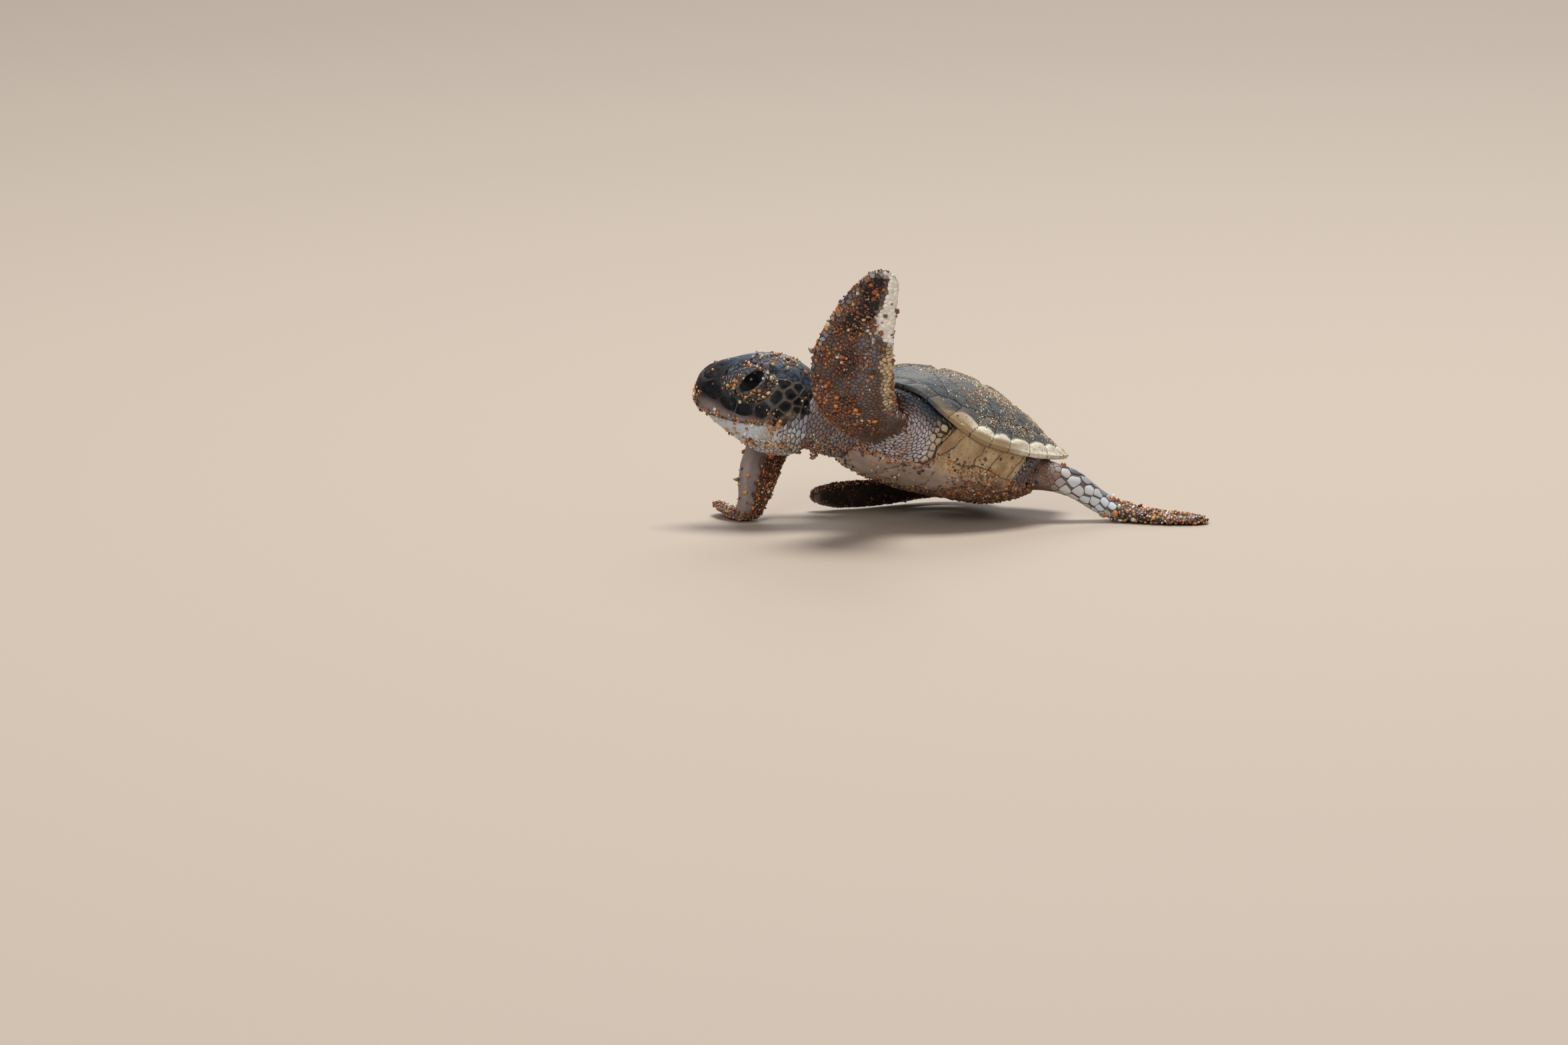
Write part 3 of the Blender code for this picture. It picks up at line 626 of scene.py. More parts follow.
def carapace():
    """The upper shell: thirteen large horn plates, a ring of rim plates with pale edges, and a low keel."""
    reaches = np.concatenate([np.linspace(0.004, 0.78, 64), np.linspace(0.79, 0.985, 34), [0.993, 0.998]])
    rim_f, rim_l = rim_place(ANGLES)
    size = np.hypot(rim_f, rim_l)
    signed = (ANGLES + math.pi) % (2 * math.pi) - math.pi
    shell = ShellRows("seam", "pale")
    for reach in reaches:
        f, l = rim_f * reach, rim_l * reach
        flat = np.stack([f, l], 1)
        folded = both_sides(flat)
        rim_gap, share = rim_wave(signed, reach)
        inner = (RIM_PLATE_REACH - 0.045 * ease(f, 14.0, 20.0) + 0.06 * (ease(f, 4.0, 11.0) - ease(f, 14, 20))
                 + 0.012 * np.cos(share * 2 * math.pi))
        ring_gap = np.abs(reach - inner) * size
        plate_gap = np.minimum(seam_gap(folded, SPINE_SEAMS + RIB_SEAMS), ring_gap)
        gap = np.where(reach < inner, plate_gap, np.minimum(rim_gap, ring_gap))
        up = dome(f, l, np.full(COLUMNS, reach))
        swell = 0.20 * ease(gap, 0.0, 1.5) - 0.10
        line = bell(gap, SEAM_WIDTH * (1.0 + 0.6 * (reach > 0.8)))
        ridge = 0.28 * bell(l, 0.9) * (reach < 0.95) * ease(seam_gap(folded, KEEL_BREAKS), 0.0, 1.4)
        bump = (lumpy(np.column_stack([flat, up]), 1.1, 11) - 0.5) * 0.10
        up = up + (swell + ridge + bump) * (1.0 - ease(reach, 0.95, 1.0)) - SEAM_DEPTH * line - 0.10
        pale_from = read(PALE_FROM, f) + 0.007 * np.cos(share * 2 * math.pi) * ease(f, 9.0, 5.0)
        roll = np.clip((reach - pale_from) / np.maximum(0.975 - pale_from, 0.02), 0.0, 1.0)
        up = up + 0.26 * np.sin(math.pi * roll) * ease(f, 11.0, 5.0) * (0.8 + 0.2 * np.sin(share * math.pi))
        shell.add(f, l, up, seam=seam_ramp(gap), pale=ease(reach - pale_from, -0.014, 0.014))
    notch = bell(rim_gap, NOTCH)
    bulge = 0.08 * np.sin(np.clip(share, 0, 1) * math.pi)
    for turn in np.linspace(0.25, 1.0, 4):
        f = rim_f * reaches[-1] - OUT_F * (NOTCH * notch * 0.6)
        l = rim_l * reaches[-1] - OUT_L * (NOTCH * notch * 0.6)
        inward = 0.25 * (1 - math.sin(turn * math.pi))
        shell.add(f - OUT_F * inward, l - OUT_L * inward,
                  up - EDGE_THICKNESS * turn * (0.86 + bulge) + 0.05 * notch,
                  seam=seam_ramp(rim_gap), pale=ease(f, 10.5, 7.0))
    for reach in (0.97, 0.93, 0.86, 0.74, 0.55, 0.3, 0.01):
        f, l = rim_f * reach, rim_l * reach
        shell.add(f, l, dome(f, l, np.full(COLUMNS, reach)) - 2.0 + 0.9 * reach ** 6,
                  seam=seam_ramp(rim_gap, 0.65) * ease(reach, 0.85, 0.95), pale=ease(f, 10.5, 7.0))
    return shell.close("carapace_plates", {"pale": (0.0, 1.0)})


def bridge_share(f):
    """Where the bridge joins the two shells: 1 in its middle, 0 before and behind it."""
    return ease(f, -14.5, -9.5) * (1.0 - ease(f, 5.4, 8.4))


def belly_rim(angles):
    """The lower shell's edge before its side is drawn in, and the share by which it is."""
    forward, left = rim_place(angles)
    forward = forward * np.where(forward > 0, BELLY_FRONT, BELLY_REAR)
    return forward, left, BELLY_SIDE + BRIDGE_SIDE * bridge_share(forward)


def plastron_edge(f):
    """How far to the side the lower shell's edge stands."""
    forward, left, side = belly_rim(np.linspace(0.0, math.pi, 400))
    return np.interp(f, forward[::-1], (left * side * 1.04)[::-1])


def plastron():
    """The lower shell: six pairs of plates, with the bridge's plates up to the rim on each side."""
    rim_f, rim_l, side = belly_rim(ANGLES)
    bridge = bridge_share(rim_f)
    shell = ShellRows("seam", "side")
    for reach in np.concatenate([np.linspace(0.004, 0.9, 66), np.linspace(0.912, 1.0, 8)]):
        f, l = rim_f * reach, rim_l * reach * side
        low = read(BELLY_LINE, f) + BELLY_RISE * reach ** 4
        flat = np.stack([f, l], 1)
        gap = seam_gap(both_sides(flat), BELLY_SEAMS)
        swell = 0.16 * ease(gap, 0.0, 1.6) - 0.16
        bump = (lumpy(np.column_stack([flat, low]), 1.6, 21) - 0.5) * 0.08
        edge_up = low - swell - bump + 0.10 * bell(gap, 0.11)
        shell.add(f, l, edge_up, seam=seam_ramp(gap, 0.40), side=0.0)
    rim_low = read(BELLY_LINE, rim_f) + BELLY_RISE
    climb_to = 1.0 + (read(RIM_LINE, rim_f) - 1.5 - rim_low) * bridge
    for climb in np.linspace(0.04, 1.0, 34):
        up = rim_low + climb_to * climb
        f, l = rim_f * (1 + 0.02 * climb), rim_l * side * (1 + 0.04 * climb)
        wander = np.column_stack([f, up, l])
        folded = np.stack([f + (lumps(wander, 1.3, 31) - 0.5) * 0.6, up], 1)
        foot_gap = np.abs(up - BRIDGE_FOOT - (lumps(wander, 3.0, 5) - 0.5))
        gap = np.where(bridge > 0.05, np.minimum(seam_gap(folded, BRIDGE_SEAMS), foot_gap), 3.0)
        start_out = math.sin(min(1.0, climb * 2) * math.pi / 2)
        out = (0.20 * ease(gap, 0.0, 1.2) - 0.14 * bell(gap, 0.12) - 0.05) * start_out
        slanted = np.column_stack([folded[:, 0] * 2.6 + up * 1.4, up * 0.5, l * 0])
        crease = (lumps(slanted, 1.0, 8) - 0.5) * 0.14
        push = (out + crease * bridge) * (1.0 - ease(climb, 0.93, 1.0))
        joined = edge_up * (1 - ease(climb, 0, 0.1)) + up * ease(climb, 0, 0.1)
        creased = 0.62 * ease(-crease, 0.02, 0.07) * bridge
        shell.add(f + OUT_F * push, l + OUT_L * push, joined,
                  seam=np.maximum(seam_ramp(gap, 0.42), creased), side=bridge)
    for inner, climb in ((0.03, 1.0), (0.07, 0.6), (0.10, 0.2)):
        up = np.maximum(rim_low + climb_to * climb, read(BELLY_LINE, rim_f) + 2.6)
        shell.add(rim_f * (1 - inner), rim_l * side * (1 - inner), up, seam=0.0, side=0.0)
    for reach in (0.7, 0.35, 0.01):
        f, l = rim_f * reach, rim_l * reach * side
        shell.add(f, l, read(BELLY_LINE, f) + BELLY_RISE * reach ** 4 + 1.9, seam=0.0, side=0.0)
    return shell.close("plastron_plates", {})


# ---- the limbs' own directions

RAISED, UPPER_ARM, TURNED_BLADE = (0.92, -0.39, 0.0), (0.6, 0.0, 0.8), (1.0, 0.0, 0.35)
THIGH, SOLE, TUCKED = (0.3, 0.6, 0.6), (0.6, 0.8, 0.0), (0.0, 0.62, 0.78)
LIMBS = {   # stations down each limb: place in the walking frame, chord towards the leading edge, width
    "front_left": [
        ((14.5, 7.0, 18.6), RAISED, 10.0), ((21.0, 14.0, 20.8), RAISED, 12.0),
        ((25.6, 18.6, 23.4), RAISED, 14.0), ((28.2, 21.4, 28.4), RAISED, 15.4),
        ((29.2, 23.9, 34.2), RAISED, 15.0), ((28.8, 27.7, 40.8), RAISED, 12.2),
        ((27.9, 31.4, 46.4), RAISED, 8.8), ((26.5, 34.0, 50.1), RAISED, 2.6)],
    "front_right": [
        ((14.0, -8.0, 19.0), UPPER_ARM, 9.0), ((22.0, -13.6, 17.8), UPPER_ARM, 8.6),
        ((28.8, -13.8, 14.4), (0.8, 0.1, 0.6), 8.8), ((32.4, -12.4, 8.6), (0.95, 0.1, 0.3), 8.6),
        ((34.7, -10.2, 3.4), (1.0, 0.1, 0.0), 6.0), ((35.7, -10.8, 0.9), TURNED_BLADE, 5.2),
        ((36.2, -14.6, 0.9), TURNED_BLADE, 6.4), ((36.2, -19.0, 1.3), TURNED_BLADE, 5.8),
        ((36.0, -22.4, 1.6), TURNED_BLADE, 2.6)],
    "hind_left": [
        ((-9.5, 7.5, 8.8), THIGH, 8.5), ((-15.0, 10.6, 8.4), THIGH, 6.6),
        ((-19.8, 12.8, 6.7), (0.3, 0.8, 0.4), 5.2), ((-23.4, 14.0, 4.0), (0.4, 0.8, 0.2), 5.0),
        ((-26.8, 15.6, 2.0), SOLE, 5.6), ((-30.8, 18.2, 1.1), SOLE, 7.4), ((-35.4, 21.6, 0.7), SOLE, 8.8),
        ((-38.6, 24.0, 0.6), SOLE, 7.0), ((-41.0, 25.8, 0.5), SOLE, 2.0)],
    "hind_right": [
        ((-11.5, -7.0, 7.4), (0.6, -0.4, 0.5), 7.5), ((-13.4, -13.4, 5.8), (0.7, 0.2, 0.6), 5.6),
        ((-9.8, -18.2, 3.8), (0.2, 0.6, 0.8), 5.0), ((-4.0, -19.4, 2.8), TUCKED, 5.2),
        ((2.0, -18.2, 2.6), TUCKED, 6.4), ((9.0, -16.2, 2.7), TUCKED, 8.0),
        ((14.8, -16.5, 2.9), TUCKED, 7.4), ((20.0, -17.9, 3.1), TUCKED, 2.2)],
}
STEPS = 12                 # fine steps between two stations
LIMB_LENGTH = 40.0         # the usual length of a limb, which runs on past its last station


class Limb:
    """A limb's path. It tells how far down the limb a place is, and how far across."""

    def __init__(self, stations):
        places = np.array([walk(*s[0]) + SHIFT for s in stations])
        chords = np.array([walk(*s[1]).normalized() for s in stations])
        knots = np.arange(len(stations), dtype=float)
        fine = np.linspace(0, len(stations) - 1, (len(stations) - 1) * STEPS + 1)
        self.path, chord = (np.stack([read(list(zip(knots, rows[:, i])), fine) for i in range(3)], 1)
                            for rows in (places, chords))
        self.width = read([(k, s[2]) for k, s in zip(knots, stations)], fine)
        along = np.gradient(self.path, axis=0)
        self.along = along / np.linalg.norm(along, axis=1)[:, None]
        across = chord - self.along * (chord * self.along).sum(1)[:, None]
        self.across = across / np.linalg.norm(across, axis=1)[:, None]
        self.share = fine / fine[-1]
        self.tree = tree_of(self.path)

    def measure(self, points):
        """For each place: the share down the limb, across it (1 is the leading edge), and the step."""
        nearest = np.array([self.tree.find(p)[1] for p in points], int)
        offset = points - self.path[nearest]
        down = self.share[nearest] + (offset * self.along[nearest]).sum(1) / (STEPS * LIMB_LENGTH)
        wide = (offset * self.across[nearest]).sum(1) / (self.width[nearest] / 2)
        return down, wide, nearest


PATHS = {name: Limb(stations) for name, stations in LIMBS.items()}


# ---- one skin over the flesh

def flesh_mesh():
    """All the nodes of flesh in one mesh, grown until the cuts between them close."""
    copies = []
    for name in FLESH:
        copy = NODES[name].copy()
        copy.data = NODES[name].data.copy()
        copy.parent = None
        for key in list(copy.keys()):
            del copy[key]
        SCENE.collection.objects.link(copy)
        copies.append(copy)
    pick(copies[0])
    for copy in copies:
        copy.select_set(True)
    bpy.ops.object.join()
    skin = added("skin")
    with editing(skin):
        bpy.ops.mesh.remove_doubles(threshold=2e-6)
    move_points(skin, points_of(skin) + normals_of(skin) * EDGE_GROWTH)
    return skin


def fill_orbits(skin):
    """A ball over each eye, which the lids are then shaped from."""
    radius = LID_RADIUS + EDGE_GROWTH + SKIN_DEPTH
    with editing(skin):
        for side in (1, -1):
            centre = out_of(HEAD, [on_side(EYE_PLACE, side)])[0]
            bpy.ops.mesh.primitive_ico_sphere_add(subdivisions=4, radius=radius * MM, location=centre * MM)


# lines in the shell's frame along which skin swells over the lower shell: forward, left, up
FRONT_LAP = [(8.9, 15.0, -3.4), (8.7, 15.1, -5.4), (8.5, 15.0, -7.4), (8.4, 14.6, -9.2), (9.0, 14.0, -10.5)]
REAR_LAPS = [[(-13.4, 12.4, -3.8), (-11.8, 13.8, -5.4), (-10.4, 14.5, -7.0), (-9.2, 14.7, -8.6),
              (-8.6, 14.3, -10.0)],
             [(-14.4, 10.6, -5.2), (-12.8, 12.0, -7.2), (-11.2, 12.8, -9.2), (-10.2, 12.6, -10.6)]]
BALL_STEP = 0.8


def ropes(skin, lines, radius):
    """Rows of balls along lines in the shell's frame, on both sides of the body."""
    with editing(skin):
        for line in lines:
            line = np.array(line, float)
            run = np.concatenate([[0.0], np.cumsum(np.linalg.norm(np.diff(line, axis=0), axis=1))])
            for at in np.arange(0.0, run[-1] + 0.3, BALL_STEP):
                spot = np.array([np.interp(at, run, line[:, i]) for i in range(3)])
                for side in (1, -1):
                    centre = out_of(SHELL, [on_side(spot, side)])[0]
                    bpy.ops.mesh.primitive_ico_sphere_add(subdivisions=2, radius=radius * MM,
                                                          location=centre * MM)


def lap_the_shell(skin):
    """Skin that swells over the edge of the lower shell, at the shoulders and in front of the thighs."""
    rim = rim_place(np.linspace(math.pi, 0.0, 400))
    front = [(f, float(plastron_edge(f)) - 1.0, -11.0 + 0.3 * ease(f, 15.0, 19.0))
             for f in np.linspace(9.2, 19.6, 12)]
    under = [(f, float(np.interp(f, *rim)) * 0.90, float(read(RIM_LINE, f)) - 2.3)
             for f in np.linspace(8.0, 20.0, 10)]
    ropes(skin, [FRONT_LAP], 1.85)
    ropes(skin, [front], 1.55)
    ropes(skin, [under], 2.0)
    ropes(skin, REAR_LAPS, 1.7)


def soften(skin, factor, rounds):
    """Even out the skin's surface."""
    step = skin.modifiers.new("soften", "SMOOTH")
    step.factor, step.iterations = factor, rounds
    bpy.ops.object.modifier_apply(modifier=step.name)


def remesh(skin):
    """One closed, even surface, smoothed, and drawn in to just inside the solids."""
    pick(skin)
    step = skin.modifiers.new("one surface", "REMESH")
    step.mode = "VOXEL"
    step.voxel_size = VOXEL * MM
    step.adaptivity = 0.0
    bpy.ops.object.modifier_apply(modifier=step.name)
    soften(skin, 0.5, 5)
    move_points(skin, points_of(skin) - normals_of(skin) * (EDGE_GROWTH + SKIN_DEPTH))
    soften(skin, 0.4, 3)
    skin.data.polygons.foreach_set("use_smooth", [True] * len(skin.data.polygons))


def hidden_inside(points):
    """Which places lie well inside the shell, where nothing shows."""
    f, l, u = into(SHELL, points).T
    roof = carapace_height(f, l) - 2.6
    floor = belly_height(f, l) + 2.4
    reach = plan_reach(f, l)
    deep = (f > -18.0) & (f < 11.0) & (reach < 0.80)
    return (u < roof + 3.0) & (u > floor - 2.0) & deep


def thin_out(skin):
    """Fewer faces where the shell hides the skin."""
    with editing(skin, hidden_inside(points_of(skin))):
        bpy.ops.mesh.decimate(ratio=0.05)


# ---- the animal's colours

MAUVE = np.array((0.240, 0.195, 0.190))
LAVENDER = np.array((0.310, 0.300, 0.350))
PEARL = np.array((0.52, 0.58, 0.65))
CREAM = np.array((0.68, 0.54, 0.33))
WHITE = np.array((0.95, 0.93, 0.87))
TAN = np.array((0.34, 0.25, 0.15))
UMBER = np.array((0.070, 0.035, 0.022))
INK = np.array((0.006, 0.007, 0.010))
SLATE = np.array((0.038, 0.052, 0.072))
BLUE = np.array((0.075, 0.108, 0.155))
ASH = np.array((0.105, 0.100, 0.092))
CHEEK_SEAMS = np.array((0.115, 0.095, 0.075))
LIP_TOP = [(-13.0, 1.0), (-8.5, 1.2), (-4.5, 1.3), (-1.5, 2.1), (3.0, 2.3)]     # over the mouth's line
MOUTH_CORNER = (-10.7, 1.1)


def head_colours(local):
    """Blue-black over the crown and snout, mauve at the lip, pale at the jaw."""
    f, _, u = local.T
    over = over_mouth(local)
    wander = lumpy(local, 3.0, 40) - 0.5
    fine = lumpy(local, 0.8, 41) - 0.5
    # The crown and the back of the head turn lighter slate and bluer than the black sides: partly the head's
    # own slate, partly a painted highlight from light above.
    top = ease(u + wander * 2.0, 7.5, 10.5)
    back = ease(f, -9.0, -15.0) * ease(u, 4.5, 9.0)
    colour = mix(INK * 1.3, SLATE, np.clip(top + back, 0, 1))
    colour = mix(colour, BLUE, 0.55 * ease(fine + 0.25 * top, 0.1, 0.5))
    colour = mix(colour, ASH * 0.9, 0.75 * ease(u, 9.5, 12.5) * ease(f + wander * 3, -7.0, -13.0))
    lip = (1.0 - ease(over - read(LIP_TOP, f) + wander * 0.8, -0.35, 0.35)) * ease(f, -13.0, -11.5)
    lip_tone = mix(MAUVE * 0.6, MAUVE * 1.1, ease(f, 1.5, -1.0) * ease(f, -12.0, -6.0))
    colour = mix(colour, lip_tone, lip)
    spot = bell(np.hypot((f - MOUTH_CORNER[0]) * 0.8, over - MOUTH_CORNER[1]), 0.42)
    colour = mix(colour, INK, spot)
    colour = mix(colour, LAVENDER * 1.35, ease(f, -14.8, -16.4) * ease(u + wander * 2, 4.2, 2.6))
    jaw = mix(PEARL * 0.9, PEARL * 1.1, ease(f + wander * 4, -2.0, -7.0))
    jaw = mix(jaw, TAN * 1.3, 0.55 * ease(wander + fine * 0.5, 0.0, 0.3) * ease(f, 0.0, -3.0))
    jaw = mix(jaw, BLUE * 3.0, 0.35 * ease(f, -1.0, 2.0) * ease(fine, -0.2, 0.3))
    colour = mix(colour, MAUVE * 0.55, bell(np.hypot(f - 1.6, u - 5.6), 1.1) * 0.8)
    return mix(colour, jaw, 1.0 - ease(over, -0.12, 0.08))


PATCH_MIDDLE = [(0.64, 0.50), (0.70, 0.36), (0.76, 0.10), (0.88, 0.22), (1.0, 0.25)]     # down, across
MARGIN_FROM = [(0.60, 0.97), (0.645, 0.86), (0.70, 0.36), (0.74, 0.26), (0.81, 0.40), (0.90, 0.36),
               (1.0, 0.1)]


def raised_flipper_colours(points, normals):
    """Mauve at the root, dark towards the tip, with white edges. The back of the flipper is slate."""
    path = PATHS["front_left"]
    down, wide, step = path.measure(points)
    wander = lumpy(points, 3.5, 50) - 0.5
    fine = lumpy(points, 0.9, 51) - 0.5
    under = np.cross(path.along[step], path.across[step])
    below = (normals * under).sum(1)
    base = mix(UMBER * 1.7, MAUVE * 0.62, ease(fine + wander, -0.30, 0.25))
    front = mix(base, LAVENDER * 0.75, bell(wide + 0.25, 0.28) * bell(down - 0.56, 0.13))
    patch = ease(down + wander * 0.10, 0.64, 0.70) * (1.0 - ease(down, 0.955, 0.985))
    patch *= 1.0 - ease(np.abs(wide + wander * 0.25 - read(PATCH_MIDDLE, down)), 0.30, 0.44)
    low = bell(down - 0.56, 0.08) * bell(wide - 0.15, 0.30) * 0.8
    patch = np.maximum(patch, np.maximum(low, bell(down - 0.645, 0.028) * bell(wide + 0.74, 0.14)))
    front = mix(front, INK * 1.4, patch)
    front = mix(front, WHITE, ease(-wide + wander * 0.15 - read(MARGIN_FROM, down), -0.07, 0.07))
    root = (1 - ease(down, 0.56, 0.68)) * ease(down, 0.22, 0.34)
    front = mix(front, CREAM, root * ease(-wide + fine * 0.3, 0.58, 0.76))
    tip = ease(down, 0.82, 0.92) * ease(np.abs(wide - 0.1) + wander * 0.2, 0.62, 0.84)
    front = mix(front, WHITE, np.maximum(tip, ease(down, 0.955, 0.98)))
    ahead = ease(down, 0.66, 0.74) * ease(wide + wander * 0.2, 0.58, 0.76)
    front = mix(front, MAUVE * 1.2, ahead * 0.7)
    front = mix(front, PEARL, ease(down, 0.45, 0.7) * ease(wide + wander * 0.2, 0.78, 0.94) * 0.8)
    back = mix(SLATE * 0.8, INK * 2.0, ease(wander, -0.2, 0.2))
    back = mix(back, WHITE, ease(-wide + wander * 0.15, 0.72, 0.86) * ease(down, 0.4, 0.55))
    back = mix(back, PEARL, ease(wide, 0.9, 1.02) * 0.7)
    back = mix(base, back, ease(down + wander * 0.1, 0.16, 0.32))
    return mix(back, front, ease(below, -0.25, 0.25))


def planted_flipper_colours(points, normals):
    """The planted arm: a pale mauve leading edge, darker behind, slate at the blade's end."""
    down, wide, _ = PATHS["front_right"].measure(points)
    wander = lumpy(points, 3.0, 60) - 0.5
    fine = lumpy(points, 0.9, 61) - 0.5
    base = mix(MAUVE * 1.2, np.array((0.31, 0.25, 0.205)), ease(fine + wander, -0.25, 0.35))
    colour = mix(base, UMBER * 1.6, 1.0 - ease(wide + wander * 0.3, 0.05, 0.30))
    colour = mix(colour, SLATE * 1.2, ease(down + wander * 0.05, 0.66, 0.74))
    colour = mix(colour, PEARL, ease(down, 0.66, 0.74) * ease(np.abs(wide), 0.8, 0.98) * 0.7)
    return colour


def hind_left_colours(points, normals):
    """A dark, finely scaled thigh, a bluish-white shank that is darker over its top, and a slate foot."""
    down, _, _ = PATHS["hind_left"].measure(points)
    wander = lumpy(points, 2.6, 70) - 0.5
    thigh = mix(UMBER * 3.2, MAUVE * 1.3, ease(wander, -0.2, 0.3))
    shank = mix(PEARL * 1.12, CREAM * 0.95, ease(wander, -0.15, 0.25) * 0.6)
    shank = mix(shank, SLATE, ease(normals[:, 2] + wander * 0.4, 0.66, 0.9))
    foot = mix(SLATE * 1.1, UMBER * 0.7, ease(wander, -0.1, 0.3))
    colour = mix(thigh, shank, ease(down + wander * 0.05, 0.16, 0.22))
    return mix(colour, foot, ease(down + wander * 0.05, 0.46, 0.55))


def hind_right_colours(points, normals):
    """Black, with a pale grey-brown edge, and paler towards its root."""
    down, wide, _ = PATHS["hind_right"].measure(points)
    wander = lumpy(points, 2.6, 80) - 0.5
    root = mix(UMBER * 1.3, MAUVE * 0.5, ease(wander, -0.2, 0.3))
    blade = mix(UMBER * 0.25, UMBER * 0.7, ease(wander, -0.1, 0.3))
    rim = np.maximum(ease(np.abs(wide), 0.86, 1.0), ease(down, 0.93, 0.98))
    blade = mix(blade, MAUVE * 1.2, rim * 0.9)
    return mix(root, blade, ease(down + wander * 0.05, 0.22, 0.34))


def neck_colours(points, normals):
    """Pale lavender-grey below, slate over the nape."""
    wander = lumpy(points, 3.0, 90) - 0.5
    base = mix(MAUVE * 0.95, LAVENDER * 1.15, ease(wander, -0.2, 0.25))
    base = mix(base, TAN * 0.9, 0.6 * ease(wander, 0.1, 0.35))
    over = turn_into(SHELL, normals)[:, 2]
    return mix(base, SLATE, ease(over + wander * 0.5, 0.35, 0.75))


def trunk_colours(points, normals):
    """Mauve at the shoulders and hips, with blue-black painted shade under the front of the shell."""
    f, _, u = into(SHELL, points).T
    wander = lumpy(points, 3.0, 95) - 0.5
    base = mix(MAUVE * 1.9, LAVENDER * 2.1, ease(wander, -0.2, 0.25))
    base = mix(base, MAUVE * 0.8, 1.0 - ease(f, -6.0, 2.0))
    # Painted shade: blue-black on the skin just under the front of the shell's rim.
    fold = ease(u - read(RIM_LINE, f) + wander * 1.2, -5.4, -2.4) * ease(f, 3.0, 8.0)
    base = mix(base, BLUE * 0.55, fold)
    low = ease(-u + wander * 3, 10.0, 12.5)
    return mix(base, UMBER * 1.6, low * ease(-f, -12.0, 4.0))


def skin_colours(points, normals, parts):
    """The colour of the skin, or of a scale's root, at each place."""
    colours = np.zeros((len(points), 3))
    rules = {
        ("head", "lower_jaw"): lambda p, n: head_colours(into(HEAD, p)),
        ("neck",): neck_colours,
        ("trunk",): trunk_colours,
        ("tail",): lambda p, n: mix(MAUVE, SLATE, ease(n[:, 2], 0.0, 0.5)),
        ("front_left",): raised_flipper_colours,
        ("front_right",): planted_flipper_colours,
        ("hind_left",): hind_left_colours,
        ("hind_right",): hind_right_colours,
    }
    for names, rule in rules.items():
        mine = part_of(parts, *names)
        if mine.any():
            colours[mine] = rule(points[mine], normals[mine])
    return colours


class Flesh:
    """Tells which node of flesh is nearest to a place."""

    def __init__(self):
        corners, faces, self.owner = [], [], []
        for index, name in enumerate(FLESH):
            data = NODES[name].data
            start = len(corners)
            corners += [v.co / MM for v in data.vertices]
            faces += [[start + i for i in p.vertices] for p in data.polygons]
            self.owner += [index] * len(data.polygons)
        self.tree = BVHTree.FromPolygons(corners, faces)

    def part(self, points):
        """The number of the nearest node for each place."""
        return np.array([self.owner[self.tree.find_nearest(p)[2]] for p in points])


def soften_colours(skin, colours, rounds):
    """Let neighbouring points share their colours, so that no border shows between two nodes."""
    first, second = column(skin.data.edges, "vertices", 2, np.int32).T
    count = np.bincount(first, minlength=len(colours)) + np.bincount(second, minlength=len(colours))
    for _ in range(rounds):
        total = np.stack([np.bincount(first, colours[second, channel], len(colours))
                          + np.bincount(second, colours[first, channel], len(colours))
                          for channel in range(3)], 1)
        colours = colours * 0.4 + 0.6 * total / np.maximum(count, 1)[:, None]
    return colours


# ---- materials

DARKEST, LIGHTEST = (0.0, 0.0, 0.0), (1.0, 1.0, 1.0)


def with_alpha(colour):
    """A plain colour as a socket takes it. Another node's colour stays as it is."""
    return (*colour, 1.0) if isinstance(colour, tuple) else colour


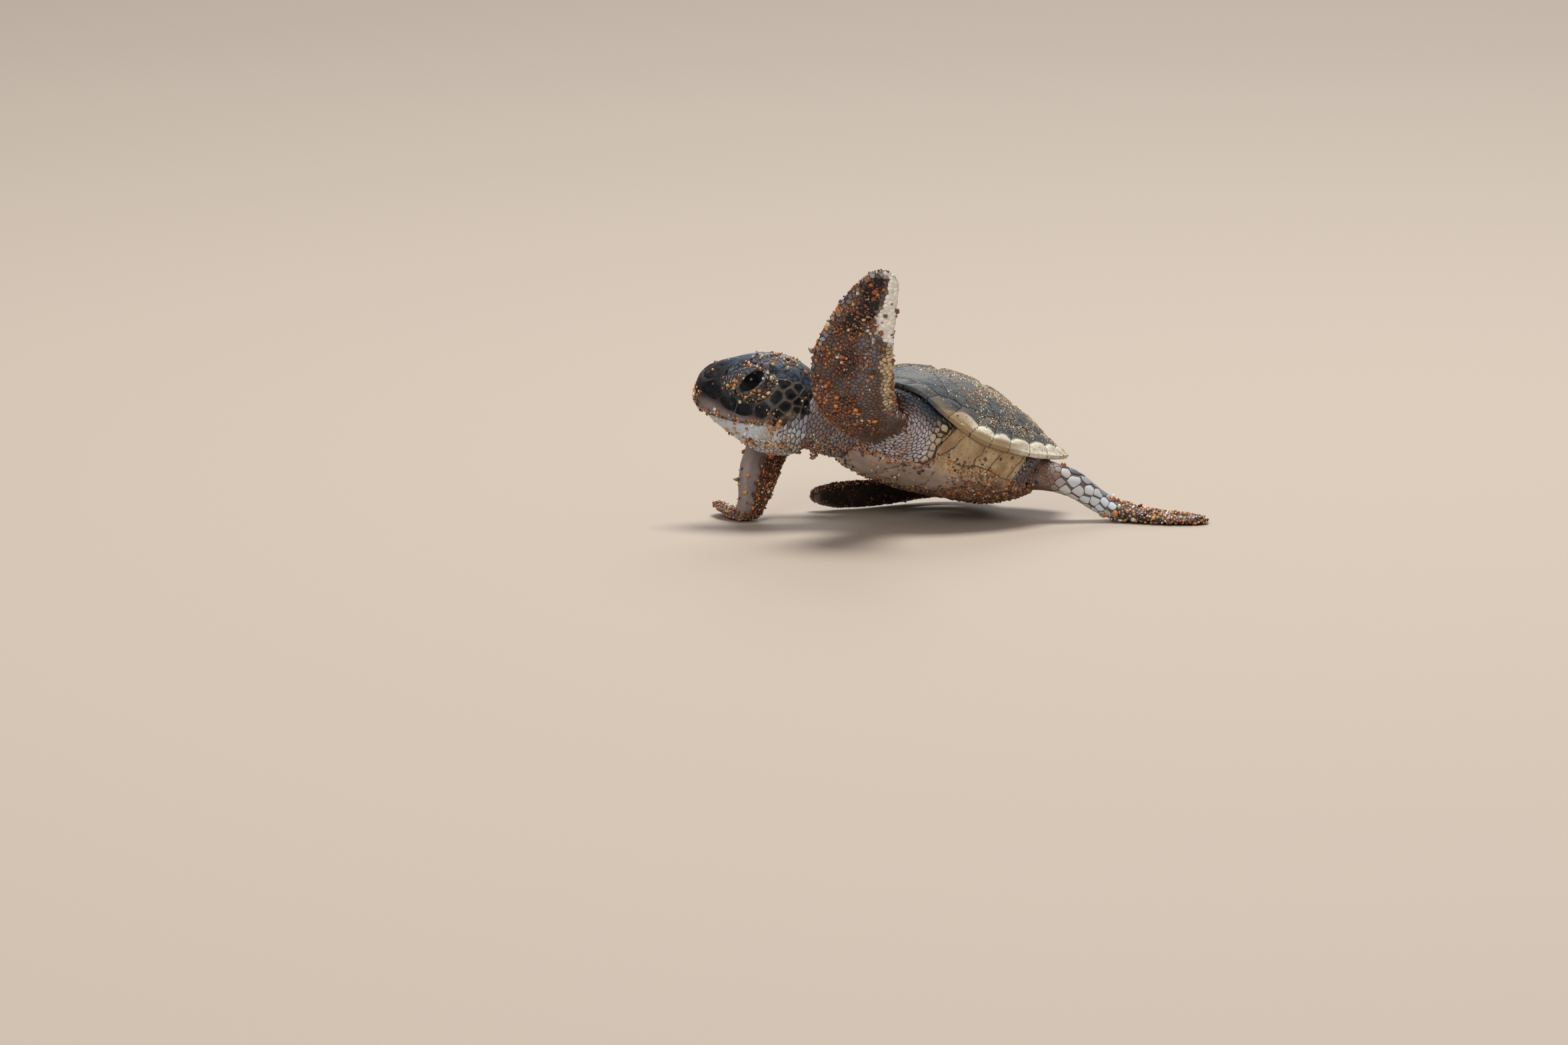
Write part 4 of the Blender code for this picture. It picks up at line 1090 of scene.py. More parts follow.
class Look:
    """A new material with one Principled shader, and short ways to make the nodes that feed it."""

    def __init__(self, name, roughness=0.5, coat=0.0, specular=0.5, coat_roughness=0.1, depth=0.0,
                 depth_colour=(1.0, 0.5, 0.35)):
        self.made = bpy.data.materials.new(name)
        self.made.use_nodes = True
        self.tree = self.made.node_tree
        self.shader = self.tree.nodes["Principled BSDF"]
        self.fill(self.shader, {"Roughness": roughness, "Specular IOR Level": specular, "Coat Weight": coat,
                                "Coat Roughness": coat_roughness})
        if depth:
            self.fill(self.shader, {"Subsurface Weight": depth, "Subsurface Radius": depth_colour,
                                    "Subsurface Scale": 0.6 * MM})

    def fill(self, node, inputs):
        """Join each of a node's inputs to another node, or give it a plain value."""
        for key, value in inputs.items():
            if isinstance(value, bpy.types.NodeSocket):
                self.tree.links.new(value, node.inputs[key])
            else:
                node.inputs[key].default_value = value
        return node

    def add(self, kind, inputs=None, **settings):
        """One node with its settings and inputs."""
        node = self.tree.nodes.new(kind)
        for name, value in settings.items():
            setattr(node, name, value)
        return self.fill(node, inputs or {})

    def blend(self, amount, first, second, way="MIX"):
        """A colour mixed from two others."""
        inputs = {0: amount, 6: with_alpha(first), 7: with_alpha(second)}
        node = self.add("ShaderNodeMix", inputs, data_type="RGBA", blend_type=way, clamp_factor=True)
        return node.outputs[2]

    def shaded(self, colour, shade):
        """A colour made darker by a number of up to 1."""
        return self.blend(1.0, colour, self.blend(shade, DARKEST, LIGHTEST), "MULTIPLY")

    def product(self, first, second):
        """One number times another."""
        return self.add("ShaderNodeMath", {0: first, 1: second}, operation="MULTIPLY").outputs[0]

    def total(self, first, second):
        """One number and another."""
        return self.add("ShaderNodeMath", {0: first, 1: second}, operation="ADD").outputs[0]

    def spread(self, value, low, high, to_low=0.0, to_high=1.0):
        """A number eased from one range to another."""
        inputs = {"Value": value, "From Min": low, "From Max": high, "To Min": to_low, "To Max": to_high}
        return self.add("ShaderNodeMapRange", inputs, interpolation_type="SMOOTHSTEP").outputs["Result"]

    def noise(self, size, detail=4.0, rough=0.6, stretch=None):
        """Noise with lumps about as large as the given millimetres."""
        place = self.add("ShaderNodeTexCoord").outputs["Object"]
        if stretch:
            place = self.add("ShaderNodeMapping", {"Vector": place, "Scale": stretch}).outputs["Vector"]
        inputs = {"Vector": place, "Scale": 1.0 / (size * MM), "Detail": detail, "Roughness": rough}
        return self.add("ShaderNodeTexNoise", inputs).outputs["Fac"]

    def value(self, name, output="Fac"):
        """What the mesh carries under a name."""
        return self.add("ShaderNodeAttribute", attribute_name=name).outputs[output]

    def marks(self):
        """The colours that the mesh carries."""
        return self.value("marks", "Color")

    def finish(self, colour, rough=None, height=None, millimetres=0.0, strength=1.0):
        """The material, with its colour, its roughness and a bump by a height that runs from 0 to 1."""
        self.fill(self.shader, {"Base Color": with_alpha(colour)})
        if rough:
            self.fill(self.shader, {"Roughness": rough})
        if height:
            inputs = {"Height": height, "Distance": millimetres * MM, "Strength": strength}
            self.fill(self.shader, {"Normal": self.add("ShaderNodeBump", inputs).outputs["Normal"]})
        return self.made


def skin_look():
    """Wet, finely creased skin. Its marks come from the body's own places."""
    k = Look("wet creased skin", 0.45, coat=0.05, specular=0.35, depth=0.06, coat_roughness=0.25)
    fine, tiny = k.noise(0.5), k.noise(0.18, 3.0, 0.7)
    colour = k.blend(k.spread(fine, 0.35, 0.7, 0.0, 0.75), k.marks(), (0.5, 0.46, 0.44), "SOFT_LIGHT")
    colour = k.shaded(colour, k.spread(tiny, 0.3, 0.7, 0.6, 1.2))
    # Painted shade: the mouth's groove and the nostrils are darkened to near black.
    colour = k.blend(k.value("mouth"), colour, (0.016, 0.009, 0.007))
    height = k.total(fine, k.product(tiny, 0.6))
    return k.finish(colour, k.spread(fine, 0.3, 0.7, 0.36, 0.6), height, 0.06, 0.8)


def scale_look():
    """Smooth horny scales over the skin, each a little different."""
    k = Look("horny scales", 0.40, coat=0.04, specular=0.28, depth=0.05, coat_roughness=0.2)
    fine = k.noise(0.35)
    colour = k.blend(k.spread(fine, 0.3, 0.75, 0.0, 0.55), k.marks(), (0.6, 0.58, 0.6), "SOFT_LIGHT")
    colour = k.shaded(colour, k.spread(k.value("own"), 0.0, 1.0, 0.80, 1.20))
    height = k.total(fine, k.product(k.noise(0.12), 0.5))
    return k.finish(colour, k.spread(fine, 0.3, 0.7, 0.28, 0.52), height, 0.035, 0.7)


def plate_look():
    """The head's large plates: finely marbled slate and black, with a dull shine."""
    k = Look("marbled head plates", 0.42, specular=0.15, coat_roughness=0.2)
    vein, tiny = k.noise(1.1, 6.0, 0.72), k.noise(0.2, 3.0, 0.7)
    shade = k.spread(vein, 0.38, 0.66, 0.35, 1.75)
    tint = k.add("ShaderNodeCombineColor", {"Red": shade, "Green": shade, "Blue": shade}).outputs["Color"]
    colour = k.blend(1.0, k.marks(), tint, "MULTIPLY")
    colour = k.blend(k.spread(tiny, 0.55, 0.8, 0.0, 0.15), colour, (0.06, 0.065, 0.07))
    height = k.total(vein, k.product(tiny, 0.4))
    return k.finish(colour, k.spread(vein, 0.3, 0.7, 0.30, 0.55), height, 0.08, 0.8)


def carapace_look():
    """Slate horn with a fine grain and dark seams. The rim is cream to white with umber in its seams."""
    k = Look("slate horn and pale rim", 0.58, specular=0.3)
    pale = k.value("pale")
    fine, broad = k.noise(0.5, 6.0, 0.7), k.noise(5.0, 3.0)
    streak = k.noise(0.9, 4.0, 0.6, (0.45, 1.6, 1.0))
    dark = k.blend(k.spread(streak, 0.32, 0.7), (0.038, 0.047, 0.058), (0.125, 0.136, 0.142))
    dark = k.blend(k.spread(broad, 0.42, 0.70, 0.0, 0.7), dark, (0.135, 0.115, 0.090))
    dark = k.blend(k.spread(fine, 0.55, 0.8, 0.0, 0.6), dark, (0.18, 0.18, 0.175))
    dark = k.blend(k.product(k.value("ochre"), k.spread(broad, 0.25, 0.6)), dark, (0.22, 0.165, 0.095))
    light = k.blend(k.spread(streak, 0.35, 0.7), (0.68, 0.60, 0.46), (0.93, 0.90, 0.81))
    light = k.blend(k.spread(broad, 0.48, 0.68, 0.0, 0.5), light, (0.36, 0.25, 0.13))
    light = k.blend(k.value("tan"), light, (0.30, 0.21, 0.11))
    seams = k.blend(pale, (0.010, 0.013, 0.020), (0.10, 0.050, 0.022))
    colour = k.blend(k.spread(k.value("seam"), 0.52, 0.84), k.blend(pale, dark, light), seams)
    height = k.total(k.product(streak, 0.7), fine)
    return k.finish(colour, k.spread(fine, 0.3, 0.75, 0.48, 0.70), height, 0.06, 0.7)


def plastron_look():
    """Cream horn with brown seams and creases on the sides, pale lavender and smooth below."""
    k = Look("cream and lavender horn", 0.4, coat=0.15, depth=0.12, coat_roughness=0.2)
    fine, broad = k.noise(0.5, 5.0, 0.65), k.noise(4.0, 3.0)
    flat = k.blend(k.spread(broad, 0.35, 0.65), (0.37, 0.28, 0.24), (0.48, 0.385, 0.33))
    flat = k.blend(k.spread(fine, 0.55, 0.8, 0.0, 0.35), flat, (0.50, 0.44, 0.43))
    flank = k.blend(k.spread(broad, 0.3, 0.7), (0.31, 0.18, 0.075), (0.56, 0.42, 0.24))
    flank = k.blend(k.spread(fine, 0.45, 0.7, 0.0, 0.75), flank, (0.20, 0.120, 0.058))
    colour = k.blend(k.spread(k.value("side"), 0.15, 0.8), flat, flank)
    seams = k.product(k.spread(k.value("seam"), 0.55, 0.85), 0.92)
    colour = k.blend(seams, colour, (0.085, 0.042, 0.022))
    wet = k.product(k.value("wet"), k.spread(k.noise(1.2), 0.3, 0.55))
    colour = k.blend(wet, colour, (0.11, 0.062, 0.035))
    return k.finish(colour, k.spread(fine, 0.3, 0.7, 0.3, 0.5), k.total(fine, broad), 0.04, 0.6)


def eye_look():
    """A black, wet eye with a faint deep-blue ring."""
    k = Look("wet black eye", 0.06, specular=0.10)
    front = k.value("front")
    ring = k.product(k.spread(front, 0.55, 0.8), k.spread(front, 0.93, 0.82))
    colour = k.blend(ring, (0.002, 0.002, 0.003), (0.007, 0.009, 0.014))
    flecks = k.product(ring, k.spread(k.noise(0.4), 0.5, 0.75))
    return k.finish(k.blend(flecks, colour, (0.016, 0.015, 0.018)))


def horn_look():
    """Claw horn, paler towards the tip."""
    k = Look("claw horn", 0.35, coat=0.2)
    colour = k.blend(k.spread(k.value("height"), 0.1, 0.9), (0.12, 0.09, 0.065), (0.34, 0.28, 0.20))
    colour = k.blend(k.spread(k.noise(0.3), 0.4, 0.7, 0.0, 0.5), colour, (0.12, 0.09, 0.07))
    return k.finish(colour, None, k.noise(0.2), 0.03, 0.6)


def sand_look():
    """Wet grains of orange, amber, rust, cream and dark stone, each its own colour."""
    k = Look("wet sand grains", 0.28, coat=0.5, coat_roughness=0.08, depth=0.25,
             depth_colour=(1.0, 0.55, 0.25))
    fine = k.noise(0.25)
    colour = k.blend(k.spread(fine, 0.3, 0.75, 0.0, 0.6), k.marks(), (0.5, 0.42, 0.35), "SOFT_LIGHT")
    return k.finish(colour, None, fine, 0.05, 0.6)


# ---- scales

CORNERS = 10               # of an outline before its neighbours cut it
STRAIGHT_BELOW = 0.95      # scales larger than this have rounded corners
PLATE_LIMIT = 0.85         # the reach of a large plate of the head against its size
# the levels of a scale: share of its outline, share of its height, share of its edge's colour
FINE_LEVELS = [(1.0, -0.02, 1.0), (0.72, 0.86, 0.08)]
BROAD_LEVELS = [(1.0, -0.03, 1.0), (0.90, 0.65, 0.60), (0.70, 0.95, 0.03)]
LARGE_LEVELS = [(1.0, 0.60, 0.8), (0.95, 0.75, 0.20), (0.80, 1.0, 0.0)]
MAP_CELLS, PATCH_SIZE = 250, 0.0015


class Cover:
    """A piece's surface, for laying scales and grains on it."""

    def __init__(self, piece):
        self.tree = surface_of(piece)
        self.points = points_of(piece)
        self.normals = normals_of(piece)
        self.near = tree_of(self.points)

    def nearest(self, places):
        """The nearest point of the surface for each place."""
        return [self.near.find(p)[1] for p in places]

    def settle(self, places, heights):
        """Places brought onto the surface, and then raised over it by their heights."""
        result = np.array([self.tree.find_nearest(p)[0] for p in places])
        return result + self.normals[self.nearest(result)] * heights[:, None]


def scatter(cover, allowed, sizes, seed):
    """Places spread over the surface, each as far from the others as its own size asks."""
    order = np.flatnonzero(allowed)
    np.random.default_rng(seed).shuffle(order)
    if not len(order):
        return order
    cell = float(sizes[order].max())
    grid, kept = {}, []
    steps = (-1, 0, 1)
    around = [(a, b, c) for a in steps for b in steps for c in steps]
    points = cover.points
    for i in order:
        p = points[i]
        key = (int(p[0] // cell), int(p[1] // cell), int(p[2] // cell))
        others = [j for a, b, c in around for j in grid.get((key[0] + a, key[1] + b, key[2] + c), ())]
        if all((p[0] - points[j][0]) ** 2 + (p[1] - points[j][1]) ** 2 + (p[2] - points[j][2]) ** 2
               >= ((sizes[i] + sizes[j]) / 2) ** 2 for j in others):
            grid.setdefault(key, []).append(i)
            kept.append(i)
    return np.array(kept, int)


def between(here, there, share):
    """A flat place on the way from one to another."""
    return here[0] + (there[0] - here[0]) * share, here[1] + (there[1] - here[1]) * share


def cut_back(outline, facing, reach):
    """What is left of a flat outline on the near side of a straight line."""
    kept = []
    for i, here in enumerate(outline):
        there = outline[(i + 1) % len(outline)]
        a = here[0] * facing[0] + here[1] * facing[1] - reach
        b = there[0] * facing[0] + there[1] * facing[1] - reach
        if a <= 0:
            kept.append(here)
        if (a < 0 < b) or (b < 0 < a):
            kept.append(between(here, there, a / (a - b)))
    return kept


def rounded(outline):
    """An outline with its corners cut once."""
    made = []
    for i, here in enumerate(outline):
        there = outline[(i + 1) % len(outline)]
        made += [between(here, there, 0.18), between(here, there, 0.82)]
    return made


def frames_on(cover, places, lie):
    """Each scale's normal, its long way and its short way on the surface."""
    normals = cover.normals[cover.nearest(places)]
    long_way = lie - normals * (lie * normals).sum(1)[:, None]
    weak = np.linalg.norm(long_way, axis=1) < 1e-3
    long_way[weak] = np.cross(normals[weak], (0.3, 0.5, 0.8))
    long_way /= np.linalg.norm(long_way, axis=1)[:, None]
    return normals, long_way, np.cross(normals, long_way)


def fit_outlines(places, sizes, normals, long_way, cross_way, stretch, seam, limit, walls):
    """Each scale's outline: it ends halfway to each of its neighbours, and large plates end at the walls."""
    tree = tree_of(places)
    outlines = []
    turns = np.linspace(0, 2 * math.pi, CORNERS, endpoint=False)
    for i, place in enumerate(places):

        def facing(other):
            """The flat direction and distance to another place."""
            offset = np.array(other) - place
            x, y = offset @ long_way[i] / stretch[i], offset @ cross_way[i]
            away = math.hypot(x, y)
            return (x / max(away, 1e-9), y / max(away, 1e-9)), away

        outline = [(math.cos(t) * sizes[i] * limit[i], math.sin(t) * sizes[i] * limit[i]) for t in turns]
        for q, j, gap in tree.find_range(place, sizes[i] * 2.3 * max(1.0, stretch[i])):
            if j == i or gap < 1e-6 or normals[i] @ normals[j] < 0.0:
                continue
            way, away = facing(q)
            if away < 1e-6:
                continue
            share = 0.5 + 0.2 * (sizes[i] - sizes[j]) / (sizes[i] + sizes[j])
            outline = cut_back(outline, way, max(away * share - seam[i] / 2, 0.04))
            if len(outline) < 3:
                break
        for q, _, _ in walls.find_range(place, sizes[i]) if limit[i] == PLATE_LIMIT else []:
            way, away = facing(q)
            outline = cut_back(outline, way, max(away, 0.1))
        outlines.append(outline)
    return outlines


def middle_of(outline):
    """The middle of a flat outline's area."""
    area, x, y = 1e-9, 0.0, 0.0
    for (ax, ay), (bx, by) in zip(outline, outline[1:] + outline[:1]):
        part = ax * by - bx * ay
        area, x, y = area + part, x + (ax + bx) * part, y + (ay + by) * part
    return x / (3 * area), y / (3 * area)


class Layout:
    """All the scales of the body, laid out together so that none lies over another."""

    def __init__(self, cover, places, sizes, lie, stretch, fixed, seam, limit, walls):
        self.cover, self.sizes, self.stretch = cover, sizes, stretch
        for turn in range(3):
            normals, long_way, cross_way = frames_on(cover, places, lie)
            outlines = fit_outlines(places, sizes, normals, long_way, cross_way, stretch, seam, limit,
                                    walls)
            if turn < 2:
                flat = np.array([middle_of(o) if len(o) > 2 else (0.0, 0.0) for o in outlines])
                flat = np.clip(flat, -0.35, 0.35) * ~fixed[:, None]
                places = cover.settle(places + long_way * (flat[:, 0] * stretch)[:, None]
                                      + cross_way * flat[:, 1][:, None], np.zeros(len(places)))
        self.places, self.long_way, self.cross_way, self.outlines = places, long_way, cross_way, outlines

    def build(self, name, chosen, height, marks, borders, levels):
        """Close-fitting plates: marks is each plate's colour and borders the colour of its edge."""
        points, heights, faces, owner, edges, patch = [], [], [], [], [], []
        for i in chosen:
            outline, place, stretch = self.outlines[i], self.places[i], self.stretch[i]
            if len(outline) < 3:
                continue
            if self.sizes[i] > STRAIGHT_BELOW:
                outline = rounded(outline)
            count, start = len(outline), len(points)
            centre = middle_of(outline)
            reach = max(max(math.hypot(x, y) for x, y in outline), 1e-6)
            for share, lift, edge in levels + [(0.0, 1.0, 0.0)]:
                for x, y in outline if share else [centre]:
                    x, y = centre[0] + (x - centre[0]) * share, centre[1] + (y - centre[1]) * share
                    points.append(place + self.long_way[i] * (x * stretch) + self.cross_way[i] * y)
                    heights.append(height[i] * lift if lift > 0 else lift)
                    edges.append(edge)
                    patch.append((x / reach, y / reach) if share else (0.0, 0.0))
            owner += [i] * (count * len(levels) + 1)
            top = start + count * len(levels)
            for k in range(count):
                n = (k + 1) % count
                for level in range(len(levels) - 1):
                    low = start + level * count
                    faces.append((low + k, low + n, low + count + n, low + count + k))
                faces.append((top - count + k, top - count + n, top))
        owner, edges = np.array(owner), np.array(edges)
        plates = mesh_piece(name, self.cover.settle(np.array(points), np.array(heights)), faces)
        write_values(plates, "own", np.random.default_rng(5).random(len(self.places))[owner])
        write_colours(plates, "marks", mix(marks[owner], borders[owner], edges))
        bake_map(plates, self.places, owner, np.array(patch))
        return plates


def bake_map(piece, places, owner, local):
    """A map where each scale or grain has a small patch, at its root's place on an unwrap of the body."""
    roots, owner = np.unique(owner, return_inverse=True)
    places = places[roots]
    spans = np.ptp(places, axis=0)
    first, second = np.argsort(spans)[::-1][:2]
    third = 3 - first - second
    middle = np.median(places[:, third])
    flat = np.stack([(places[:, first] - places[:, first].min()) / max(spans[first], 1e-6),
                     (places[:, second] - places[:, second].min()) / max(spans[second], 1e-6)], 1)
    half = places[:, third] > middle
    flat[:, 0] = flat[:, 0] * 0.48 + np.where(half, 0.51, 0.01)
    flat[:, 1] = flat[:, 1] * 0.98 + 0.01
    taken, step, inside = set(), 1 / MAP_CELLS, range(MAP_CELLS - 1)
    near = range(-12, 13)
    around = sorted(((a, b) for a in near for b in near), key=lambda s: max(abs(s[0]), abs(s[1])))
    for i in np.argsort(flat[:, 1]):
        x, y = int(flat[i, 0] / step), int(flat[i, 1] / step)
        free = next(((x + a, y + b) for a, b in around
                     if (x + a, y + b) not in taken and x + a in inside and y + b in inside), (x, y))
        taken.add(free)
        flat[i] = (free[0] + 0.5) * step, (free[1] + 0.5) * step
    spots = flat[owner] + local * PATCH_SIZE
    layer = piece.data.uv_layers.new(name="OFBake")
    layer.data.foreach_set("uv", spots[corners_of(piece)].ravel())


# ---- where the scales lie

CHEEK_PLATES = [    # forward, up, size: on the side of the head behind and below the eye
    (-12.3, 8.2, 2.5), (-14.4, 6.5, 2.0), (-11.9, 5.3, 2.7), (-9.9, 2.6, 3.0), (-13.9, 4.1, 2.1),
    (-16.1, 5.4, 1.4), (-16.3, 4.0, 1.4), (-16.8, 7.2, 1.7), (-18.0, 7.2, 1.5), (-15.5, 7.8, 1.4),
    (-15.7, 2.8, 1.7), (-17.5, 5.6, 1.4), (-13.0, 2.2, 1.7), (-14.4, 1.2, 1.5), (-12.6, 0.9, 1.2),
    (-17.4, 3.9, 1.3),
]
SNOUT_PLATES = [(-6.9, 1.7, 2.8), (-3.9, 1.9, 2.6), (-1.0, 3.8, 3.6), (0.4, 6.4, 2.2), (-13.9, 10.0, 3.0),
                (-17.0, 9.2, 2.6), (-10.4, 10.6, 2.2)]
CROWN_PLATES = [    # forward, left, size: on the top of the head
    (-1.6, 1.5, 2.8), (-5.0, 0.0, 3.0), (-9.6, 0.0, 4.8), (-7.4, 3.3, 3.2), (-4.4, 2.9, 2.2),
    (-13.6, 2.6, 4.4), (-12.0, 5.4, 2.4), (-17.2, 1.5, 3.0), (-17.6, 4.4, 2.4), (1.2, 0.0, 1.6),
]
LIP_PLATES_FROM = [(-13.0, 0.7), (-8.5, 1.05), (-4.5, 1.4), (-1.5, 2.5), (3.0, 2.8)]
FLIPPER_SCALES = [(0.0, 0.42), (0.26, 0.45), (0.42, 0.55), (0.7, 0.62), (1.0, 0.55)]    # down, size
SHANK_SCALES = [(0.0, 0.45), (0.14, 0.5), (0.19, 1.55), (0.34, 1.45), (0.46, 1.2), (0.55, 1.0), (1.0, 0.9)]
LIMB_ROOTS = {"front_left": 0.36, "front_right": 0.3, "hind_left": 0.16, "hind_right": 0.26}
SHOULDER = (15.3, -6.1)    # the middle of the shoulder's rings: forward, up
EARTH = np.array((0.030, 0.017, 0.012))


def head_plates(cover):
    """The large plates of the head, laid from the side and from above."""
    turn = HEAD.to_3x3()
    found = []
    for side in (1, -1):
        aimed = [((f, side * 12.0, u), (0.0, -side, 0.0), size, cheek)
                 for plates, cheek in ((CHEEK_PLATES, 1.0), (SNOUT_PLATES, 0.0)) for f, u, size in plates]
        aimed += [((f, side * l, 20.0), (0.0, 0.0, -1.0), size, 0.0) for f, l, size in CROWN_PLATES
                  if l or side > 0]
        for start, way, size, cheek in aimed:
            spot = cover.tree.ray_cast(HEAD @ Vector(start), turn @ Vector(way))[0]
            if spot:
                found.append((spot, size, cheek))
    return (np.array(column) for column in zip(*found))


def by_the_bridge(f):
    """Where the shoulder meets the bridge, along the shell."""
    return ease(f, 10.2, 9.0) * ease(f, 4.0, 5.5)


def scale_sizes(points, parts, local_head):
    """How large the scales are at each place on the body. 0 where there are none of this kind."""
    sizes = np.zeros(len(points))
    f, _, u = local_head.T
    head = parts < HEAD_NODES
    under_jaw = (over_mouth(local_head) < -2.5) & (f < -4.5)
    behind_jaw = (f < -14.5) & (u < 1.0 + 2.2 * ease(f, -15.5, -17.0))
    sizes[head & (under_jaw | behind_jaw)] = 0.52
    sizes[head & (f < -17.2)] = 0.75
    for side in (1, -1):
        _, _, _, opening, ring, _ = eye_measures(local_head, side)
        sizes[head & (opening > 1.25) & (ring < 0.95)] = 0.45
    sizes[part_of(parts, "neck")] = 0.44
    s_f, s_l, _ = into(SHELL, points).T
    trunk = part_of(parts, "trunk")
    border = by_the_bridge(s_f) * ease(np.abs(s_l), 11.5, 13.5)
    sizes[trunk] = (0.42 + 0.80 * border)[trunk]
    sizes[part_of(parts, "tail")] = 0.8
    rules = {
        "front_left": lambda down, wide: (read(FLIPPER_SCALES, down)
                                          + 0.35 * ease(wide, 0.7, 0.9) * ease(down, 0.3, 0.5)),
        "front_right": lambda down, wide: np.where((wide > 0.12) & (down > 0.14) & (down < 0.68), 0.0, 0.62),
        "hind_left": lambda down, wide: read(SHANK_SCALES, down),
        "hind_right": lambda down, wide: 0.5 + 0.6 * ease(down, 0.22, 0.4),
    }
    for limb, rule in rules.items():
        mine = part_of(parts, limb)
        down, wide, _ = PATHS[limb].measure(points[mine])
        sizes[mine] = rule(down, wide)
    return sizes


def lie_of_scales(points, normals, parts):
    """The long way of the scales at each place, and how much longer they are that way."""
    lie = np.zeros_like(points)
    stretch = np.ones(len(points))
    for limb, path in PATHS.items():
        mine = part_of(parts, limb)
        down, _, step = path.measure(points[mine])
        lie[mine] = np.cross(path.along[step], normals[mine])
        stretch[mine] = 1.15 + 0.85 * (1.0 - ease(down, LIMB_ROOTS[limb] - 0.1, LIMB_ROOTS[limb] + 0.05))
    neck = parts < FACE_NODES
    lie[neck] = np.cross(AHEAD, normals[neck])
    local = into(HEAD, points)
    f = local[:, 0]
    for side in (1, -1):
        middle, _, _, _, ring, _ = eye_measures(local, side)
        lids = neck & (ring < 0.97)
        lie[lids] = np.cross(out_of(HEAD, local - middle) - out_of(HEAD, np.zeros((1, 3))), normals)[lids]
    lie[neck & (f > -13.5) & (local[:, 2] < 1.0)] = AHEAD
    stretch[neck] = (1.6 + 0.6 * ease(f, -13.0, -19.0))[neck]
    body = part_of(parts, "trunk")
    local, outward = into(SHELL, points[body]), turn_into(SHELL, normals[body])
    arm = np.stack([local[:, 0] - SHOULDER[0], local[:, 2] * 0.0, local[:, 2] - SHOULDER[1]], 1)
    rings = np.cross(arm, outward)
    behind = local[:, 0] < -2.0
    rings[behind] = np.cross((0.8, 0.3, -0.5), outward[behind])
    lie[body] = out_of(SHELL, rings) - out_of(SHELL, np.zeros((1, 3)))
    stretch[body] = 2.1 - 0.9 * ease(local[:, 0], 10.2, 9.0) * ease(local[:, 0], 4.0, 5.5)
    return lie, stretch


def between_scales(colours, parts):
    """The colour of the skin between the scales: dark and earthy, but paler where the flipper is white."""
    light = colours.mean(1)
    dark = mix(EARTH, EARTH * 3.6, part_of(parts, "leg_hind_left"))
    flipper = part_of(parts, "front_left")
    return mix(dark, colours * 0.9, ease(light, 0.42, 0.62) * 0.95 * flipper)


def plate_walls(local, parts):
    """The points that the head's large plates don't reach past: the lip, the orbit's crease and the neck."""
    head = parts < HEAD_NODES
    f = local[:, 0]
    rings = [eye_measures(local, side)[4] for side in (1, -1)]
    lip = np.abs(over_mouth(local) - read(LIP_PLATES_FROM, f)) < 0.15
    orbit = np.abs(np.minimum(*rings) - 1.05) < 0.03
    return (head & ((lip & (f > -12.5) & (f < 2.0)) | orbit)) | (part_of(parts, "neck") & (f > -21.0))


def lay_scales(cover, parts, look_of_scales):
    """All the scales, in one piece for each part of the body."""
    points, normals = cover.points, cover.normals
    local = into(HEAD, points)
    sizes = scale_sizes(points, parts, local)
    lie, stretch = lie_of_scales(points, normals, parts)
    shown = (sizes > 0) & ~hidden_inside(points) & (points[:, 2] > 0.12)
    plates, plate_sizes, cheek = head_plates(cover)
    plate_tree = tree_of(plates)
    close = np.flatnonzero(shown & (parts < FACE_NODES))
    shown[close] = [plate_tree.find(p)[2] > 1.2 for p in points[close]]
    chosen = scatter(cover, shown, sizes * np.sqrt(stretch) * 0.95, 1)
    count = len(chosen)
    fixed = np.arange(count + len(plates)) >= count
    limit = np.where(parts[chosen] < HEAD_NODES, 0.95, 1.25)
    layout = Layout(cover, np.concatenate([points[chosen], plates]),
                    np.concatenate([sizes[chosen] * 1.15, plate_sizes]),
                    np.concatenate([lie[chosen], np.tile(AHEAD, (len(plates), 1))]),
                    np.concatenate([stretch[chosen], np.full(len(plates), 1.1)]), fixed,
                    np.where(fixed, 0.06, 0.055), np.concatenate([limit, np.full(len(plates), PLATE_LIMIT)]),
                    tree_of(points[plate_walls(local, parts)]))
    spots = layout.places[:count]
    near = cover.nearest(spots)
    owners = parts[near]
    marks = skin_colours(spots, normals[near], owners)
    marks = mix(marks, border_colours(marks, spots), part_of(owners, "trunk"))
    marks = mix(marks, lid_colours(marks, into(HEAD, spots)), owners < HEAD_NODES)
    borders = mix(between_scales(marks, owners), marks, 0.50)
    plate_marks, plate_borders = plate_colours(plates, cheek)
    marks, borders = np.concatenate([marks, plate_marks]), np.concatenate([borders, plate_borders])
    own_height = 0.05 + 0.035 * sizes[chosen] + 0.14 * np.maximum(sizes[chosen] - 0.9, 0.0)
    height = np.concatenate([own_height, 0.05 + 0.05 * cheek])
    groups = {"head": ("head", "lower_jaw"), "neck": ("neck",), "trunk": ("trunk", "tail")}
    groups.update({limb: (limb,) for limb in LIMBS})
    for group, nodes in groups.items():
        mine = np.flatnonzero(part_of(parts[chosen], *nodes))
        levels = LARGE_LEVELS if group == "hind_left" else FINE_LEVELS
        scales = layout.build("scales_" + group, mine, height, marks, borders, levels)
        mount_piece(scales, look_of_scales, "skin")
    large = layout.build("head_plates", np.flatnonzero(fixed), height, marks, borders, BROAD_LEVELS)
    mount_piece(large, plate_look(), "head_plates")


